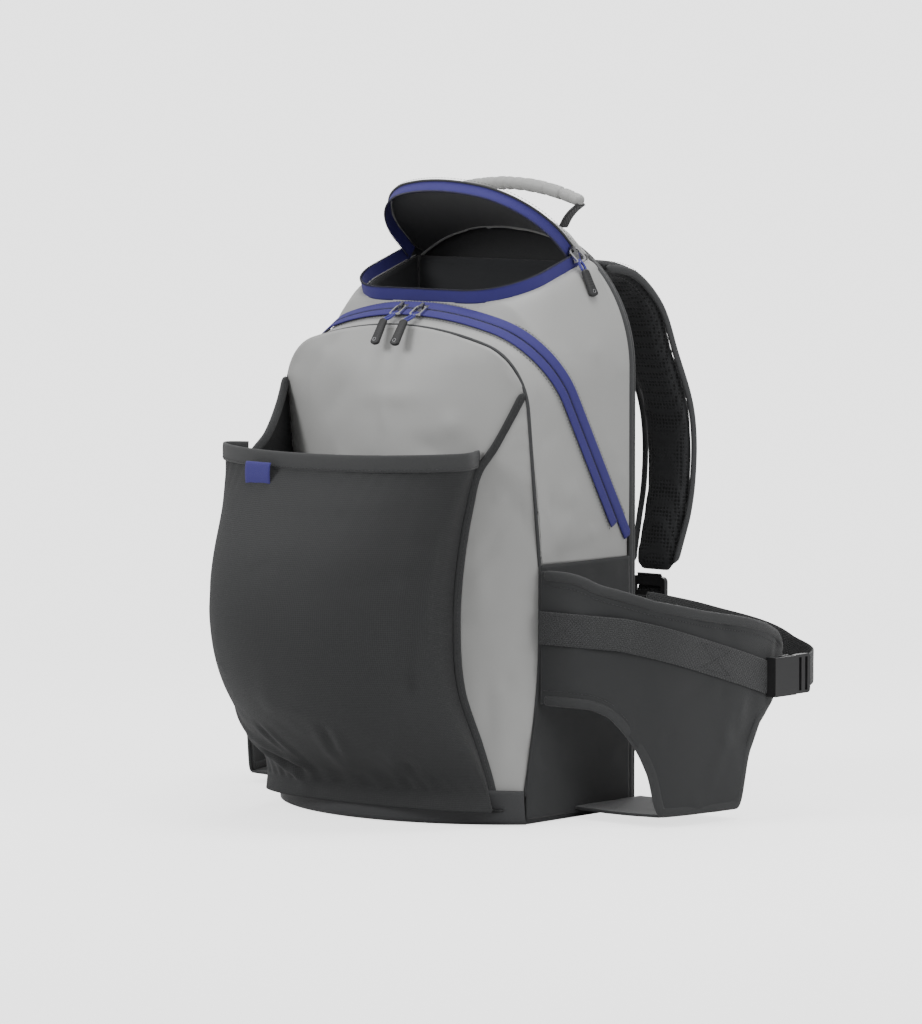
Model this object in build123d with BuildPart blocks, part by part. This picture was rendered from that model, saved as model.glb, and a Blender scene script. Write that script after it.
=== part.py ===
"""Ski boot backpack: a bag with a hinged front, a goggle pocket, a helmet pocket and two boot sleeves.

Millimetres. Z is up, the front of the bag faces -Y and its right-hand side is +X.
The origin is the centre of the flat base.
"""
from build123d import *
from math import atan2, cos, degrees, hypot, radians, sin, sqrt
import os

os.makedirs("parts", exist_ok=True)

# ---- driving dimensions -------------------------------------------------------------------
half_width = 124.0          # body of the bag, without its boot sleeves
wall = 2.0                  # lined and lightly padded fabric
clear = 0.4                 # gap between pieces of different bodies
base_top = 4.0              # upper face of the base board
wrap_top = 28.0             # upper edge of the moulded base wrap
waist = 195.0               # seam between the lower body and the opening front
back_face = 46.0            # inner face of the back panel
back_thickness = 4.0
tape_width = 11.5           # one side of a zip
tape_gap = 1.6              # between the two coils
tape_wall = 1.2

# the main zip lies in a plane through the hinge line of the opening front
hinge_y, hinge_z = 45.0, 200.0
zip_lean = 30.5             # degrees that the plane leans forward from upright
zip_top = 212.0             # height of the zip along its plane
zip_corner, zip_crown = 66.0, 240.0
fold_angle = 30.0           # degrees that the front opens

# the seam that carries the piping, in a plane of its own
piping_y = -58.0            # at the waist
piping_top_y, piping_top_z = -78.0, 372.0
piping_corner, piping_crown = 50.0, 300.0

# outline of the back panel
back_top = 445.0
back_corner, back_crown = 105.0, 180.0

# front panel: height, y at the side seams, y at the middle
front_sections = [(28.0, -75.0, -127.0), (100.0, -61.0, -119.0), (waist, -58.0, -112.0)]
door_sections = [(waist, -58.0, -112.0), (300.0, -71.0, -101.0), (345.0, -76.0, -92.0), (374.0, -79.0, -80.5)]

# goggle pocket: its mouth is cut along a plane that rises to the back
mouth_half, mouth_front, mouth_back, mouth_corner = 86.0, -51.0, 42.0, 45.0
lip_z, lip_slope = 388.5, 0.33
lining_floor = 338.0
lining_rear_top = 407.5     # clears the flap's tape as the flap closes
flap_half, flap_rise, flap_lean = 82.4, 85.0, 49.0    # the raised flap, leaning forward
flap_foot_y, flap_foot_z = 34.0, 424.0

# helmet pocket: height, right edge, left edge, y of both edges, y of the fullest point
pocket_sections = [
    (30.0, 100.0, -102.0, -103.0, -136.0),
    (60.0, 92.0, -98.0, -103.0, -172.0),
    (100.0, 80.0, -96.0, -105.0, -212.0),
    (150.0, 76.0, -96.0, -107.0, -229.0),
    (200.0, 78.0, -97.0, -107.0, -219.0),
    (240.0, 82.0, -99.0, -107.0, -194.0),
    (268.0, 88.0, -101.0, -107.0, -174.0),
]
hem_height = 13.0
mesh_wall = 1.6

# boot sleeves, in plan, for the right-hand side
sleeve_plan = [(126.5, -61.0), (165.0, -57.0), (200.0, -28.0), (215.0, 30.0), (216.0, 90.0), (205.0, 128.0)]
sleeve_wall = 2.6
sling_z, sling_inner = 7.0, 124.2
webbing_width, webbing_wall = 25.0, 1.6

# straps and handle
strap_inner, strap_outer = 38.0, 98.0
handle_half, handle_rise, handle_radius = 74.0, 13.0, 5.5
handle_y, handle_z = 49.0, 443.0
buckle_x, buckle_y, buckle_z = 223.0, 92.0, 105.0


def save(part, name):
    """Label one finished piece and write it to its own STEP file."""
    part.label = name
    export_step(part, f"parts/{name}.step")


def arch(width, top, corner, crown, inset=0.0):
    """Filled upright arch on the sketch plane: straight legs, two corner arcs and a flat crown arc."""
    centre_x = width - corner
    crown_y = top - crown
    corner_y = crown_y + sqrt((crown - corner) ** 2 - centre_x**2)
    turn = degrees(atan2(corner_y - crown_y, centre_x))
    side = width - inset
    with BuildLine() as outline:
        Line((side, 0), (side, corner_y))
        CenterArc((centre_x, corner_y), corner - inset, 0, turn)
        CenterArc((0, crown_y), crown - inset, turn, 180 - 2 * turn)
        CenterArc((-centre_x, corner_y), corner - inset, 180 - turn, turn)
        Line((-side, corner_y), (-side, 0))
        Line((-side, 0), (side, 0))
    make_face(outline.edges(), mode=Mode.ADD if inset == 0.0 else Mode.SUBTRACT)


def leaning(y, z, lean, along=0.0, out=0.0):
    """Plane whose Y axis rises and leans forward; along and out move it up its own axes."""
    up_y, up_z = -sin(radians(lean)), cos(radians(lean))
    origin = (0, y + along * up_y + out * up_z, z + along * up_z - out * up_y)
    return Plane(origin=origin, x_dir=(1, 0, 0), z_dir=(0, -up_z, up_y))


def band(plane, size, thickness):
    """Thin arch-shaped band on a plane; size is its width, top, corner and crown."""
    with BuildSketch(plane) as sketch:
        arch(*size)
        arch(*size, inset=thickness)
    return sketch.sketch


def shorter(size, amount):
    """The same arch on a plane whose origin has moved up by amount."""
    width, top, corner, crown = size
    return (width, top - amount, corner, crown)


def front_strip(section, thickness, width, setback=0.0):
    """Thin curved strip of the front panel at one height."""
    z, side_y, middle_y = section
    with BuildSketch(Plane.XY.offset(z)) as sketch:
        with BuildLine():
            ThreePointArc((-width, side_y + setback), (0, middle_y + setback), (width, side_y + setback))
            Line((width, side_y + setback), (width, side_y + setback + thickness))
            ThreePointArc(
                (width, side_y + setback + thickness),
                (0, middle_y + setback + thickness),
                (-width, side_y + setback + thickness),
            )
            Line((-width, side_y + setback + thickness), (-width, side_y + setback))
        make_face()
    return sketch.sketch


zip_size = (half_width - 2.0, zip_top, zip_corner, zip_crown)
piping_lean = degrees(atan2(piping_y - piping_top_y, piping_top_z - waist))
piping_size = (
    half_width - 2.0,
    hypot(piping_y - piping_top_y, piping_top_z - waist),
    piping_corner,
    piping_crown,
)
back_size = (half_width, back_top, back_corner, back_crown)
fold_plane = Plane(
    origin=(0, hinge_y, hinge_z),
    x_dir=(1, 0, 0),
    z_dir=(0, sin(radians(fold_angle)), cos(radians(fold_angle))),
)
lip_lean = degrees(atan2(lip_slope, 1.0))
lip_plane = Plane(
    origin=(0, mouth_front, lip_z),
    x_dir=(1, 0, 0),
    z_dir=(0, -sin(radians(lip_lean)), cos(radians(lip_lean))),
)

# ---- lower body ---------------------------------------------------------------------------
with BuildPart() as base_panel:
    with BuildSketch():
        with BuildLine():
            ThreePointArc((-half_width + 3, -74), (0, -124), (half_width - 3, -74))
            Line((half_width - 3, -74), (half_width - 3, back_face - 0.2))
            Line((half_width - 3, back_face - 0.2), (-half_width + 3, back_face - 0.2))
            Line((-half_width + 3, back_face - 0.2), (-half_width + 3, -74))
        make_face()
    extrude(amount=base_top)
    chamfer(base_panel.faces().sort_by(Axis.Z)[0].edges(), length=1.5)
save(base_panel.part, "base_panel")

with BuildPart() as base_wrap:
    add(front_strip((base_top + 0.2, -75.0, -125.5), 3.0, half_width, setback=-2.5))
    add(front_strip((wrap_top, -75.0, -127.0), 3.0, half_width, setback=-2.5))
    loft(ruled=True)
save(base_wrap.part, "base_wrap")

with BuildPart() as front_lower:
    for section in front_sections:
        add(front_strip(section, wall, half_width - 3.2, setback=0.8))
    loft(ruled=True)
    split(bisect_by=Plane.XY.offset(wrap_top + 0.2), keep=Keep.TOP)
    split(bisect_by=Plane.XY.offset(waist - clear), keep=Keep.BOTTOM)
save(front_lower.part, "front_lower")

for side, name in ((-1, "left"), (1, "right")):
    with BuildPart() as side_panel:
        with BuildSketch(Plane.YZ.offset(side * (half_width - 1.5))):
            with BuildLine():
                Polyline(
                    (-73, base_top + 0.2),
                    (-60.5, 100),
                    (-57.5, waist - clear),
                    (back_face - 0.3, waist - clear),
                    (back_face - 0.3, base_top + 0.2),
                    close=True,
                )
            make_face()
        extrude(amount=1.2, both=True)
    save(side_panel.part, f"side_panel_{name}")

# ---- back ---------------------------------------------------------------------------------
with BuildPart() as back_panel:
    with BuildSketch(leaning(back_face + back_thickness, base_top, 0)):
        arch(*shorter(back_size, base_top))
    extrude(amount=back_thickness)
save(back_panel.part, "back_panel")

with BuildPart() as frame_sheet:
    with BuildSketch(leaning(back_face - 0.5, 20, 0)):
        with Locations((0, 155)):
            RectangleRounded(200, 310, 30)
    extrude(amount=1.6)
save(frame_sheet.part, "frame_sheet")

pad_face = back_face + back_thickness + 0.2
with BuildPart() as back_pads:
    for x, z, width, height in ((-62, 250, 84, 210), (62, 250, 84, 210), (0, 82, 176, 90)):
        with BuildSketch(leaning(pad_face + 12, 0, 0)):
            with Locations((x, z)):
                RectangleRounded(width, height, 24)
        extrude(amount=12)
    fillet(back_pads.faces().sort_by(Axis.Y)[-3:].edges(), radius=5)
save(back_pads.part, "back_pads")

# ---- opening front ------------------------------------------------------------------------
fold_gap = 0.3
with BuildPart() as door_panel:
    for section in door_sections:
        add(front_strip(section, wall, half_width - 5.2, setback=0.8))
    loft(ruled=True)
    with BuildSketch(leaning(-40, waist, 0)):
        arch(half_width - 5.2, piping_top_z - waist - 3.0, piping_corner - 3.0, piping_crown)
    extrude(amount=120, mode=Mode.INTERSECT)
    split(bisect_by=fold_plane.offset(fold_gap), keep=Keep.TOP)
save(door_panel.part, "door_panel")

with BuildPart() as door_piping:
    extrude(band(leaning(piping_y, waist, piping_lean), piping_size, 2.8), amount=1.4, both=True)
    split(bisect_by=fold_plane.offset(fold_gap), keep=Keep.TOP)
save(door_piping.part, "door_piping")

tape_edge = tape_gap / 2 + tape_width + 0.2
gusset_start = (waist - hinge_z) / cos(radians(zip_lean))


def door_gusset_loft():
    """Side and top fabric between the piping and the zip."""
    add(band(leaning(piping_y, waist, piping_lean, out=1.7), piping_size, wall))
    zip_side = leaning(hinge_y, hinge_z, zip_lean, along=gusset_start, out=-tape_edge)
    add(band(zip_side, shorter(zip_size, gusset_start), wall))
    loft(ruled=True)


with BuildPart() as door_gusset:
    door_gusset_loft()
    split(bisect_by=fold_plane.offset(fold_gap), keep=Keep.TOP)
save(door_gusset.part, "door_gusset")

# loose fabric below the fold line that creases when the front opens
with BuildPart() as door_fold:
    door_gusset_loft()
    for section in door_sections:
        add(front_strip(section, wall, half_width - 5.2, setback=0.8))
    loft(ruled=True)
    split(bisect_by=fold_plane.offset(-fold_gap), keep=Keep.BOTTOM)
    split(bisect_by=Plane.XY.offset(waist + clear), keep=Keep.TOP)
save(door_fold.part, "door_fold")

front_tape_start, rear_tape_start = 26.0, 8.0
with BuildPart() as main_zip_tape_front:
    plane = leaning(hinge_y, hinge_z, zip_lean, along=front_tape_start, out=-tape_gap / 2)
    extrude(band(plane, shorter(zip_size, front_tape_start), tape_wall), amount=tape_width)
save(main_zip_tape_front.part, "main_zip_tape_front")

with BuildPart() as main_zip_tape_rear:
    plane = leaning(hinge_y, hinge_z, zip_lean, along=rear_tape_start, out=tape_gap / 2 + tape_width)
    extrude(band(plane, shorter(zip_size, rear_tape_start), tape_wall), amount=tape_width)
    split(bisect_by=Plane.XZ.offset(-back_face + 0.4), keep=Keep.TOP)
save(main_zip_tape_rear.part, "main_zip_tape_rear")


# ---- top of the bag and goggle pocket -----------------------------------------------------
def mouth_prism(inset, bottom, top, mode=Mode.ADD):
    """Upright prism of the goggle pocket's mouth, rounded at its front corners."""
    with BuildSketch(Plane.XY.offset(bottom)) as outline:
        with Locations((0, (mouth_front + mouth_back) / 2)):
            Rectangle(2 * (mouth_half - inset), mouth_back - mouth_front - 2 * inset)
        fillet(outline.vertices().sort_by(Axis.Y)[:2], radius=mouth_corner - inset)
    extrude(outline.sketch, amount=top - bottom, mode=mode)


gusset_foot = 228.0
with BuildPart() as rear_gusset:
    foot = (gusset_foot - hinge_z - tape_edge * sin(radians(zip_lean))) / cos(radians(zip_lean))
    add(band(leaning(hinge_y, hinge_z, zip_lean, along=foot, out=tape_edge), shorter(zip_size, foot), wall))
    add(band(leaning(back_face - 0.2, gusset_foot, 0), shorter(back_size, gusset_foot), wall))
    loft(ruled=True)
    mouth_prism(-1.2, 340, 480, mode=Mode.SUBTRACT)
save(rear_gusset.part, "rear_gusset")

lip_height = 10.0
with BuildPart() as goggle_zip_tape_front:
    mouth_prism(0, 340, 480)
    mouth_prism(tape_wall, 340, 480, mode=Mode.SUBTRACT)
    split(bisect_by=lip_plane, keep=Keep.TOP)
    split(bisect_by=lip_plane.offset(lip_height), keep=Keep.BOTTOM)
    split(bisect_by=Plane.XZ.offset(-flap_foot_y), keep=Keep.TOP)
save(goggle_zip_tape_front.part, "goggle_zip_tape_front")

with BuildPart() as goggle_lining:
    mouth_prism(3.0, lining_floor, 480)
    mouth_prism(4.5, lining_floor + 2, 480, mode=Mode.SUBTRACT)
    split(bisect_by=lip_plane.offset(-0.4), keep=Keep.BOTTOM)
    split(bisect_by=Plane.XY.offset(lining_rear_top), keep=Keep.BOTTOM)
save(goggle_lining.part, "goggle_lining")

flap_size = (flap_half, flap_rise, 62.0, 140.0)
flap_rear_size = (flap_half, 26.5, 20.0, 330.0)
with BuildPart() as goggle_flap:
    add(band(leaning(mouth_back - 2, flap_foot_z - 6, 0), flap_rear_size, wall))
    add(band(leaning(flap_foot_y, flap_foot_z, flap_lean), flap_size, wall))
    loft(ruled=True)
save(goggle_flap.part, "goggle_flap")

with BuildPart() as goggle_zip_tape_flap:
    plane = leaning(flap_foot_y, flap_foot_z, flap_lean, out=-0.2)
    extrude(band(plane, flap_size, tape_wall), amount=lip_height)
save(goggle_zip_tape_flap.part, "goggle_zip_tape_flap")


# ---- zip sliders and pulls ----------------------------------------------------------------
slider_half, plate_width = 3.4, 9.0
bridge_half, pivot_height = 1.2, 3.1


def slider(track, name):
    """Slider on a plane across its track: X runs across the two tapes and Y away from the bag."""
    with BuildPart() as body:
        with BuildSketch(track):
            with Locations((0, 1.1), (0, -2.3)):
                Rectangle(plate_width, 1.4)
            Rectangle(0.8, 4)
        extrude(amount=slider_half, both=True)
        with BuildSketch(track):
            with Locations((0, pivot_height + 0.5)):
                Rectangle(5.2, 3.6)
            with Locations((0, pivot_height)):
                Rectangle(2.8, 2.6, mode=Mode.SUBTRACT)
        extrude(amount=bridge_half, both=True)
    save(body.part, name)


def saddle_slider(track, name):
    """Slider that sits over the top edge of one standing tape, 1.2 mm thick."""
    with BuildPart() as body:
        with BuildSketch(track):
            with Locations((0, lip_height - 1.7)):
                Rectangle(4.0, 8.6)
            with Locations((0, lip_height - 2.9)):
                Rectangle(2.0, 6.8, mode=Mode.SUBTRACT)
        extrude(amount=slider_half, both=True)
        with BuildSketch(track):
            with Locations((0, lip_height + 2.6 + 1.8)):
                Rectangle(4.4, 3.6)
            with Locations((0, lip_height + 2.6 + 1.3)):
                Rectangle(2.8, 2.6, mode=Mode.SUBTRACT)
        extrude(amount=bridge_half, both=True)
    save(body.part, name)


def pull(pivot, bar, ring_way, grip_start, grip_way, name):
    """Ring on the slider's bridge, a short cord and a moulded grip."""
    ring_plane = Plane(origin=pivot, x_dir=bar, z_dir=ring_way.cross(bar))
    with BuildPart() as ring:
        with BuildSketch(ring_plane):
            with Locations((0, -5.6)):
                RectangleRounded(10.4, 13.0, 3.2)
                RectangleRounded(7.6, 10.2, 2.0, mode=Mode.SUBTRACT)
        extrude(amount=0.7, both=True)
    save(ring.part, f"pull_ring_{name}")
    cord_start = pivot + ring_way * 12.6
    cord_way = grip_start - cord_start
    with BuildPart() as cord:
        with BuildSketch(Plane(origin=cord_start, x_dir=bar, z_dir=cord_way.normalized())):
            Ellipse(1.9, 1.0)
        extrude(amount=cord_way.length - 1.2)
    save(cord.part, f"pull_cord_{name}")
    with BuildPart() as grip:
        with BuildSketch(Plane(origin=grip_start, x_dir=bar, z_dir=grip_way.cross(bar))):
            with Locations((0, -11.5)):
                RectangleRounded(7.0, 23.0, 3.2)
        extrude(amount=2.1, both=True)
        fillet(grip.faces().sort_by(Axis((0, 0, 0), tuple(grip_way.cross(bar))))[-1].edges(), radius=1.2)
    save(grip.part, f"pull_grip_{name}")


zip_up = Vector(0, -sin(radians(zip_lean)), cos(radians(zip_lean)))
zip_out = Vector(0, -cos(radians(zip_lean)), -sin(radians(zip_lean)))
crown_centre = Vector(0, hinge_y, hinge_z) + zip_up * (zip_top - zip_crown)
slider_spread = 10.0
for side, name in ((-1, "left"), (1, "right")):
    turn = side * slider_spread / zip_crown
    radial = zip_up * cos(turn) + Vector(1, 0, 0) * sin(turn)
    bar = Vector(1, 0, 0) * cos(turn) - zip_up * sin(turn)
    slider(Plane(origin=crown_centre + radial * zip_crown, x_dir=zip_out, z_dir=-bar), f"slider_{name}")
    pivot = crown_centre + radial * (zip_crown + pivot_height)
    grip_start = pivot + zip_out * 22.0 + radial * 3.0
    grip_way = (zip_out * 0.9 - radial * 0.45).normalized()
    pull(pivot, bar, zip_out, grip_start, grip_way, name)

lip_rise = Vector(0, -sin(radians(lip_lean)), cos(radians(lip_lean)))
lip_along = Vector(0, -cos(radians(lip_lean)), -sin(radians(lip_lean)))
goggle_slider_y = 28.0
track_centre = Vector(
    mouth_half - tape_wall / 2, goggle_slider_y, lip_z + lip_slope * (goggle_slider_y - mouth_front)
)
saddle_slider(Plane(origin=track_centre, x_dir=(1, 0, 0), z_dir=lip_along), "slider_goggle")
pivot = track_centre + lip_rise * (lip_height + 3.9)
pull(
    pivot,
    lip_along,
    Vector(0.62, 0, -0.7846),
    pivot + Vector(11.5, 0, -14.5),
    Vector(0.45, 0, -0.893),
    "goggle",
)

# ---- helmet pocket ------------------------------------------------------------------------
side_bulge = 12.0


def pocket_curve(section, inset):
    """Points of the stretched mesh at one height, from its right edge round the front to its left."""
    z, right, left, edge_y, front_y = section
    centre, reach = (right + left) / 2, (right - left) / 2
    depth = edge_y - front_y - inset
    out = reach + side_bulge * min(1.0, depth / 60.0) - inset
    return [
        (right - inset, edge_y),
        (centre + out, edge_y - 0.42 * depth),
        (centre + 0.55 * out, edge_y - 0.88 * depth),
        (centre - 6.0, edge_y - depth),
        (centre - 0.65 * out, edge_y - 0.88 * depth),
        (centre - out, edge_y - 0.42 * depth),
        (left + inset, edge_y),
    ]


def pocket_band(section, thickness, outset=0.0):
    """Closed outline of the mesh at one height, with its thickness."""
    outer, inner = pocket_curve(section, -outset), pocket_curve(section, thickness - outset)
    with BuildSketch(Plane.XY.offset(section[0])) as sketch:
        with BuildLine():
            Spline(*outer)
            Line(outer[-1], inner[-1])
            Spline(*reversed(inner))
            Line(inner[0], outer[0])
        make_face()
    return sketch.sketch


with BuildPart() as pocket_mesh:
    for section in pocket_sections:
        add(pocket_band(section, mesh_wall))
    loft(ruled=True)
save(pocket_mesh.part, "pocket_mesh")

with BuildPart() as pocket_hem:
    hem_base = pocket_sections[-1][0] + 0.3
    extrude(pocket_band((hem_base,) + pocket_sections[-1][1:], 3.0, outset=0.7), amount=hem_height)
save(pocket_hem.part, "pocket_hem")

binding_radius = 2.4
for side, edge, name in ((1, 1, "right"), (-1, 2, "left")):
    route = [(s[edge] + side * 4.4, s[3] + 0.6, s[0]) for s in pocket_sections if s[0] not in (60.0, 200.0)]
    route += [(side * 107.0, -98.0, 298.0), (side * 119.5, -85.5, 340.0)]
    with BuildPart() as binding:
        with BuildLine() as path:
            FilletPolyline(*route, radius=22)
        with BuildSketch(Plane(origin=path.line @ 0, z_dir=path.line % 0)):
            Circle(binding_radius)
        sweep(path=path.line)
    save(binding.part, f"pocket_binding_{name}")

with BuildPart() as pocket_tab:
    with BuildSketch(Plane.XY.offset(hem_base - 12)):
        with Locations((-66, -184)):
            Rectangle(24, 1.6)
    extrude(amount=17)
save(pocket_tab.part, "pocket_tab")


# ---- boot sleeves -------------------------------------------------------------------------
def pushed(points, distance):
    """The same open plan line moved sideways by distance."""
    moved = []
    for i, (x, y) in enumerate(points):
        before, after = points[max(i - 1, 0)], points[min(i + 1, len(points) - 1)]
        dx, dy = after[0] - before[0], after[1] - before[1]
        size = hypot(dx, dy)
        moved.append((x + distance * dy / size, y - distance * dx / size))
    return moved


def plan_band(points, side, near, far, bottom, top):
    """Upright band that follows a plan line, between two sideways distances."""
    outer = [(side * x, y) for x, y in pushed(points, far)]
    inner = [(side * x, y) for x, y in pushed(points, near)]
    with BuildSketch(Plane.XY.offset(bottom)) as sketch:
        with BuildLine():
            Spline(*outer)
            Line(outer[-1], inner[-1])
            Spline(*reversed(inner))
            Line(inner[0], outer[0])
        make_face()
    extrude(sketch.sketch, amount=top - bottom)


def keep_outline(plane, points, depth):
    """Keep only what lies inside an outline drawn on a plane."""
    with BuildSketch(plane) as sketch:
        with BuildLine():
            Polyline(*points, close=True)
        make_face()
    extrude(sketch.sketch, amount=depth, both=True, mode=Mode.INTERSECT)


sleeve_outline = [
    (-66, 192), (-54, 182), (-25, 170), (20, 160), (66, 152), (92, 146), (118, 137), (129, 126), (112, 92),
    (82, 70), (67, 46), (58, sling_z), (-20, sling_z), (-24, 36), (-32, 56), (-40, 71), (-48, 84), (-56, 91),
    (-66, 92),
]
webbing_line = [(-66, 149), (-45, 146), (91.5, buckle_z)]
anchor_plan = [(222.0, 143.0), (213.0, 160.0), (184.0, 164.0), (148.0, 112.0), (126.8, 60.0)]
half_web = webbing_width / 2
for side, name in ((-1, "left"), (1, "right")):
    with BuildPart() as sleeve:
        plan_band(sleeve_plan, side, 0, sleeve_wall, sling_z, 195)
        rim = [(side * x, y) for x, y in pushed(sleeve_plan, sleeve_wall / 2)]
        with BuildSketch(Plane.XY.offset(sling_z)):
            with BuildLine():
                Spline(*rim)
                Polyline(rim[-1], (side * sling_inner, rim[-1][1]), (side * sling_inner, rim[0][1]), rim[0])
            make_face()
        extrude(amount=sleeve_wall)
        keep_outline(Plane.YZ, sleeve_outline, 260)
    save(sleeve.part, f"boot_sleeve_{name}")

    with BuildPart() as sleeve_webbing:
        plan_band(sleeve_plan, side, sleeve_wall + 0.3, sleeve_wall + 0.3 + webbing_wall, 80, 180)
        upper = [(y, z + half_web) for y, z in webbing_line]
        lower = [(y, z - half_web) for y, z in reversed(webbing_line)]
        keep_outline(Plane.YZ, upper + lower, 260)
    save(sleeve_webbing.part, f"sleeve_webbing_{name}")

    with BuildPart() as buckle_female:
        with BuildSketch(Plane.XY.offset(buckle_z)):
            with Locations((side * (buckle_x + 1.5), buckle_y + 13)):
                Rectangle(9, 26)
            with Locations((side * (buckle_x + 1.5), buckle_y + 16)):
                Rectangle(5, 22, mode=Mode.SUBTRACT)
        extrude(amount=15, both=True)
    save(buckle_female.part, f"buckle_female_{name}")

    with BuildPart() as buckle_male:
        with BuildSketch(Plane.YZ.offset(side * (buckle_x + 1.5))):
            with Locations((buckle_y + 36.5, buckle_z)):
                RectangleRounded(20, 30, 3)
            with Locations((buckle_y + 17, buckle_z)):
                Rectangle(20, 6)
            with Locations((buckle_y + 17, buckle_z + 10), (buckle_y + 17, buckle_z - 10)):
                Rectangle(20, 3.6)
            with Locations((buckle_y + 9, buckle_z + 11), (buckle_y + 9, buckle_z - 11)):
                Rectangle(5, 5.6)
            with Locations((buckle_y + 34, buckle_z), (buckle_y + 41.5, buckle_z)):
                Rectangle(3, 25.6, mode=Mode.SUBTRACT)
        extrude(amount=2.0, both=True)
    save(buckle_male.part, f"buckle_male_{name}")

    with BuildPart() as anchor_webbing:
        plan_band(anchor_plan, side, 0, webbing_wall, 80, 190)
        rise = [(side * 225, buckle_z), (side * 185, 117), (side * 122, 158)]
        keep_outline(
            Plane.XZ,
            [(x, z + half_web) for x, z in rise] + [(x, z - half_web) for x, z in reversed(rise)],
            260,
        )
    save(anchor_webbing.part, f"anchor_webbing_{name}")

# ---- shoulder straps and handle -----------------------------------------------------------
strap_outer_line = [(55, 421), (98, 412), (126, 388), (142, 346), (160, 298), (162, 240), (146, 172)]
strap_inner_line = [(55, 407), (92, 399), (114, 378), (129, 342), (146, 296), (148, 242), (132, 174)]
for side, name in ((-1, "left"), (1, "right")):
    with BuildPart() as shoulder_strap:
        with BuildSketch(Plane.YZ.offset(side * (strap_inner + strap_outer) / 2)):
            with BuildLine():
                Spline(*strap_outer_line)
                Line(strap_outer_line[-1], strap_inner_line[-1])
                Spline(*reversed(strap_inner_line))
                Line(strap_inner_line[0], strap_outer_line[0])
            make_face()
        extrude(amount=(strap_outer - strap_inner) / 2, both=True)
    save(shoulder_strap.part, f"shoulder_strap_{name}")

    with BuildPart() as ladder_lock:
        with BuildSketch(Plane.XZ.offset(-141)):
            with Locations((side * 68, 156)):
                RectangleRounded(34, 26, 4)
            with Locations((side * 68, 150), (side * 68, 160)):
                Rectangle(26, 4, mode=Mode.SUBTRACT)
        extrude(amount=4)
    save(ladder_lock.part, f"ladder_lock_{name}")

    with BuildPart() as lower_webbing:
        with BuildSketch(Plane.XZ.offset(-138)):
            with Locations((side * 68, 140)):
                Rectangle(webbing_width, webbing_wall)
        with BuildSketch(Plane.XZ.offset(-(pad_face + 3))):
            with Locations((side * 107, 34)):
                Rectangle(webbing_width, webbing_wall)
        loft(ruled=True)
    save(lower_webbing.part, f"lower_webbing_{name}")

with BuildPart() as handle_grip:
    with BuildLine() as path:
        ends = (handle_z + 20, handle_z + 20 + handle_rise)
        ThreePointArc((-handle_half, handle_y, ends[0]), (0, handle_y, ends[1]), (handle_half, handle_y, ends[0]))
    with BuildSketch(Plane(origin=path.line @ 0, z_dir=path.line % 0)):
        Circle(handle_radius)
    sweep(path=path.line)
save(handle_grip.part, "handle_grip")

handle_foot = 54.0
with BuildPart() as handle_webbing:
    for side in (-1, 1):
        with BuildSketch(Plane.XZ.offset(-handle_y)):
            with BuildLine():
                Polyline(
                    (side * handle_foot, handle_z),
                    (side * (handle_foot + 2.2), handle_z),
                    (side * (handle_half + 1.2), ends[0] - 6.2),
                    (side * (handle_half - 1.2), ends[0] - 6.2),
                    close=True,
                )
            make_face()
        extrude(amount=5, both=True)
save(handle_webbing.part, "handle_webbing")

with BuildPart() as handle_anchors:
    with BuildSketch(leaning(pad_face + 1.6, 0, 0)):
        with Locations((-handle_foot, 421), (handle_foot, 421)):
            Rectangle(20, 24)
    extrude(amount=1.6)
save(handle_anchors.part, "handle_anchors")
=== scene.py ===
import bmesh
import bpy
import numpy as np
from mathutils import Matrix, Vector


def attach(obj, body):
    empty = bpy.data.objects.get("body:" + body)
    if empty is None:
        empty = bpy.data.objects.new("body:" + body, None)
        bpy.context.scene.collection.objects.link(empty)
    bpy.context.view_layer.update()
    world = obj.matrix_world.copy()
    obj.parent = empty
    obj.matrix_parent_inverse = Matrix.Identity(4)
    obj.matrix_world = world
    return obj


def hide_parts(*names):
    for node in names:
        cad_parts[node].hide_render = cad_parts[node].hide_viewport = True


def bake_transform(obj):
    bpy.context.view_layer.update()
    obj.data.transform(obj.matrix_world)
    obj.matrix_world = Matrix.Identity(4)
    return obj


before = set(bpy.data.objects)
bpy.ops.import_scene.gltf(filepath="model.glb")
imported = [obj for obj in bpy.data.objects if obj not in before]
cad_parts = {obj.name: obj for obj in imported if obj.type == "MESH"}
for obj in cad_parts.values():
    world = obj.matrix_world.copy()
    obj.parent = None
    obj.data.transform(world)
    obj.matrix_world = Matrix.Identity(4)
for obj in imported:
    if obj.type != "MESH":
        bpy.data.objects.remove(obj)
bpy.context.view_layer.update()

# ---- studio -------------------------------------------------------------------------------
# Pale paper floor that fades into the backdrop, and soft boxes to the left, right, above and behind.
def new_look(name):
    """New material, its node tree and its shader."""
    look = bpy.data.materials.new(name)
    look.use_nodes = True
    return look, look.node_tree, look.node_tree.nodes["Principled BSDF"]


def feed(tree, node, inputs):
    """Gives each of a node's inputs a value, or links it to the output that feeds it."""
    for key, value in inputs.items():
        if isinstance(value, bpy.types.NodeSocket):
            tree.links.new(value, node.inputs[key])
        else:
            node.inputs[key].default_value = value
    return node


def new_node(tree, kind, inputs, **settings):
    """New shader node with those settings and inputs."""
    node = tree.nodes.new("ShaderNode" + kind)
    for key, value in settings.items():
        setattr(node, key, value)
    return feed(tree, node, inputs)


def ramp(tree, value, low, high):
    """Output that runs from low to high as the value runs from 0 to 1."""
    return new_node(tree, "MapRange", {"To Min": low, "To Max": high, "Value": value}).outputs["Result"]


def camera_ray(tree):
    """Output that is 1 for what the camera sees straight and 0 for the light on other things."""
    return new_node(tree, "LightPath", {}).outputs["Is Camera Ray"]


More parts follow.
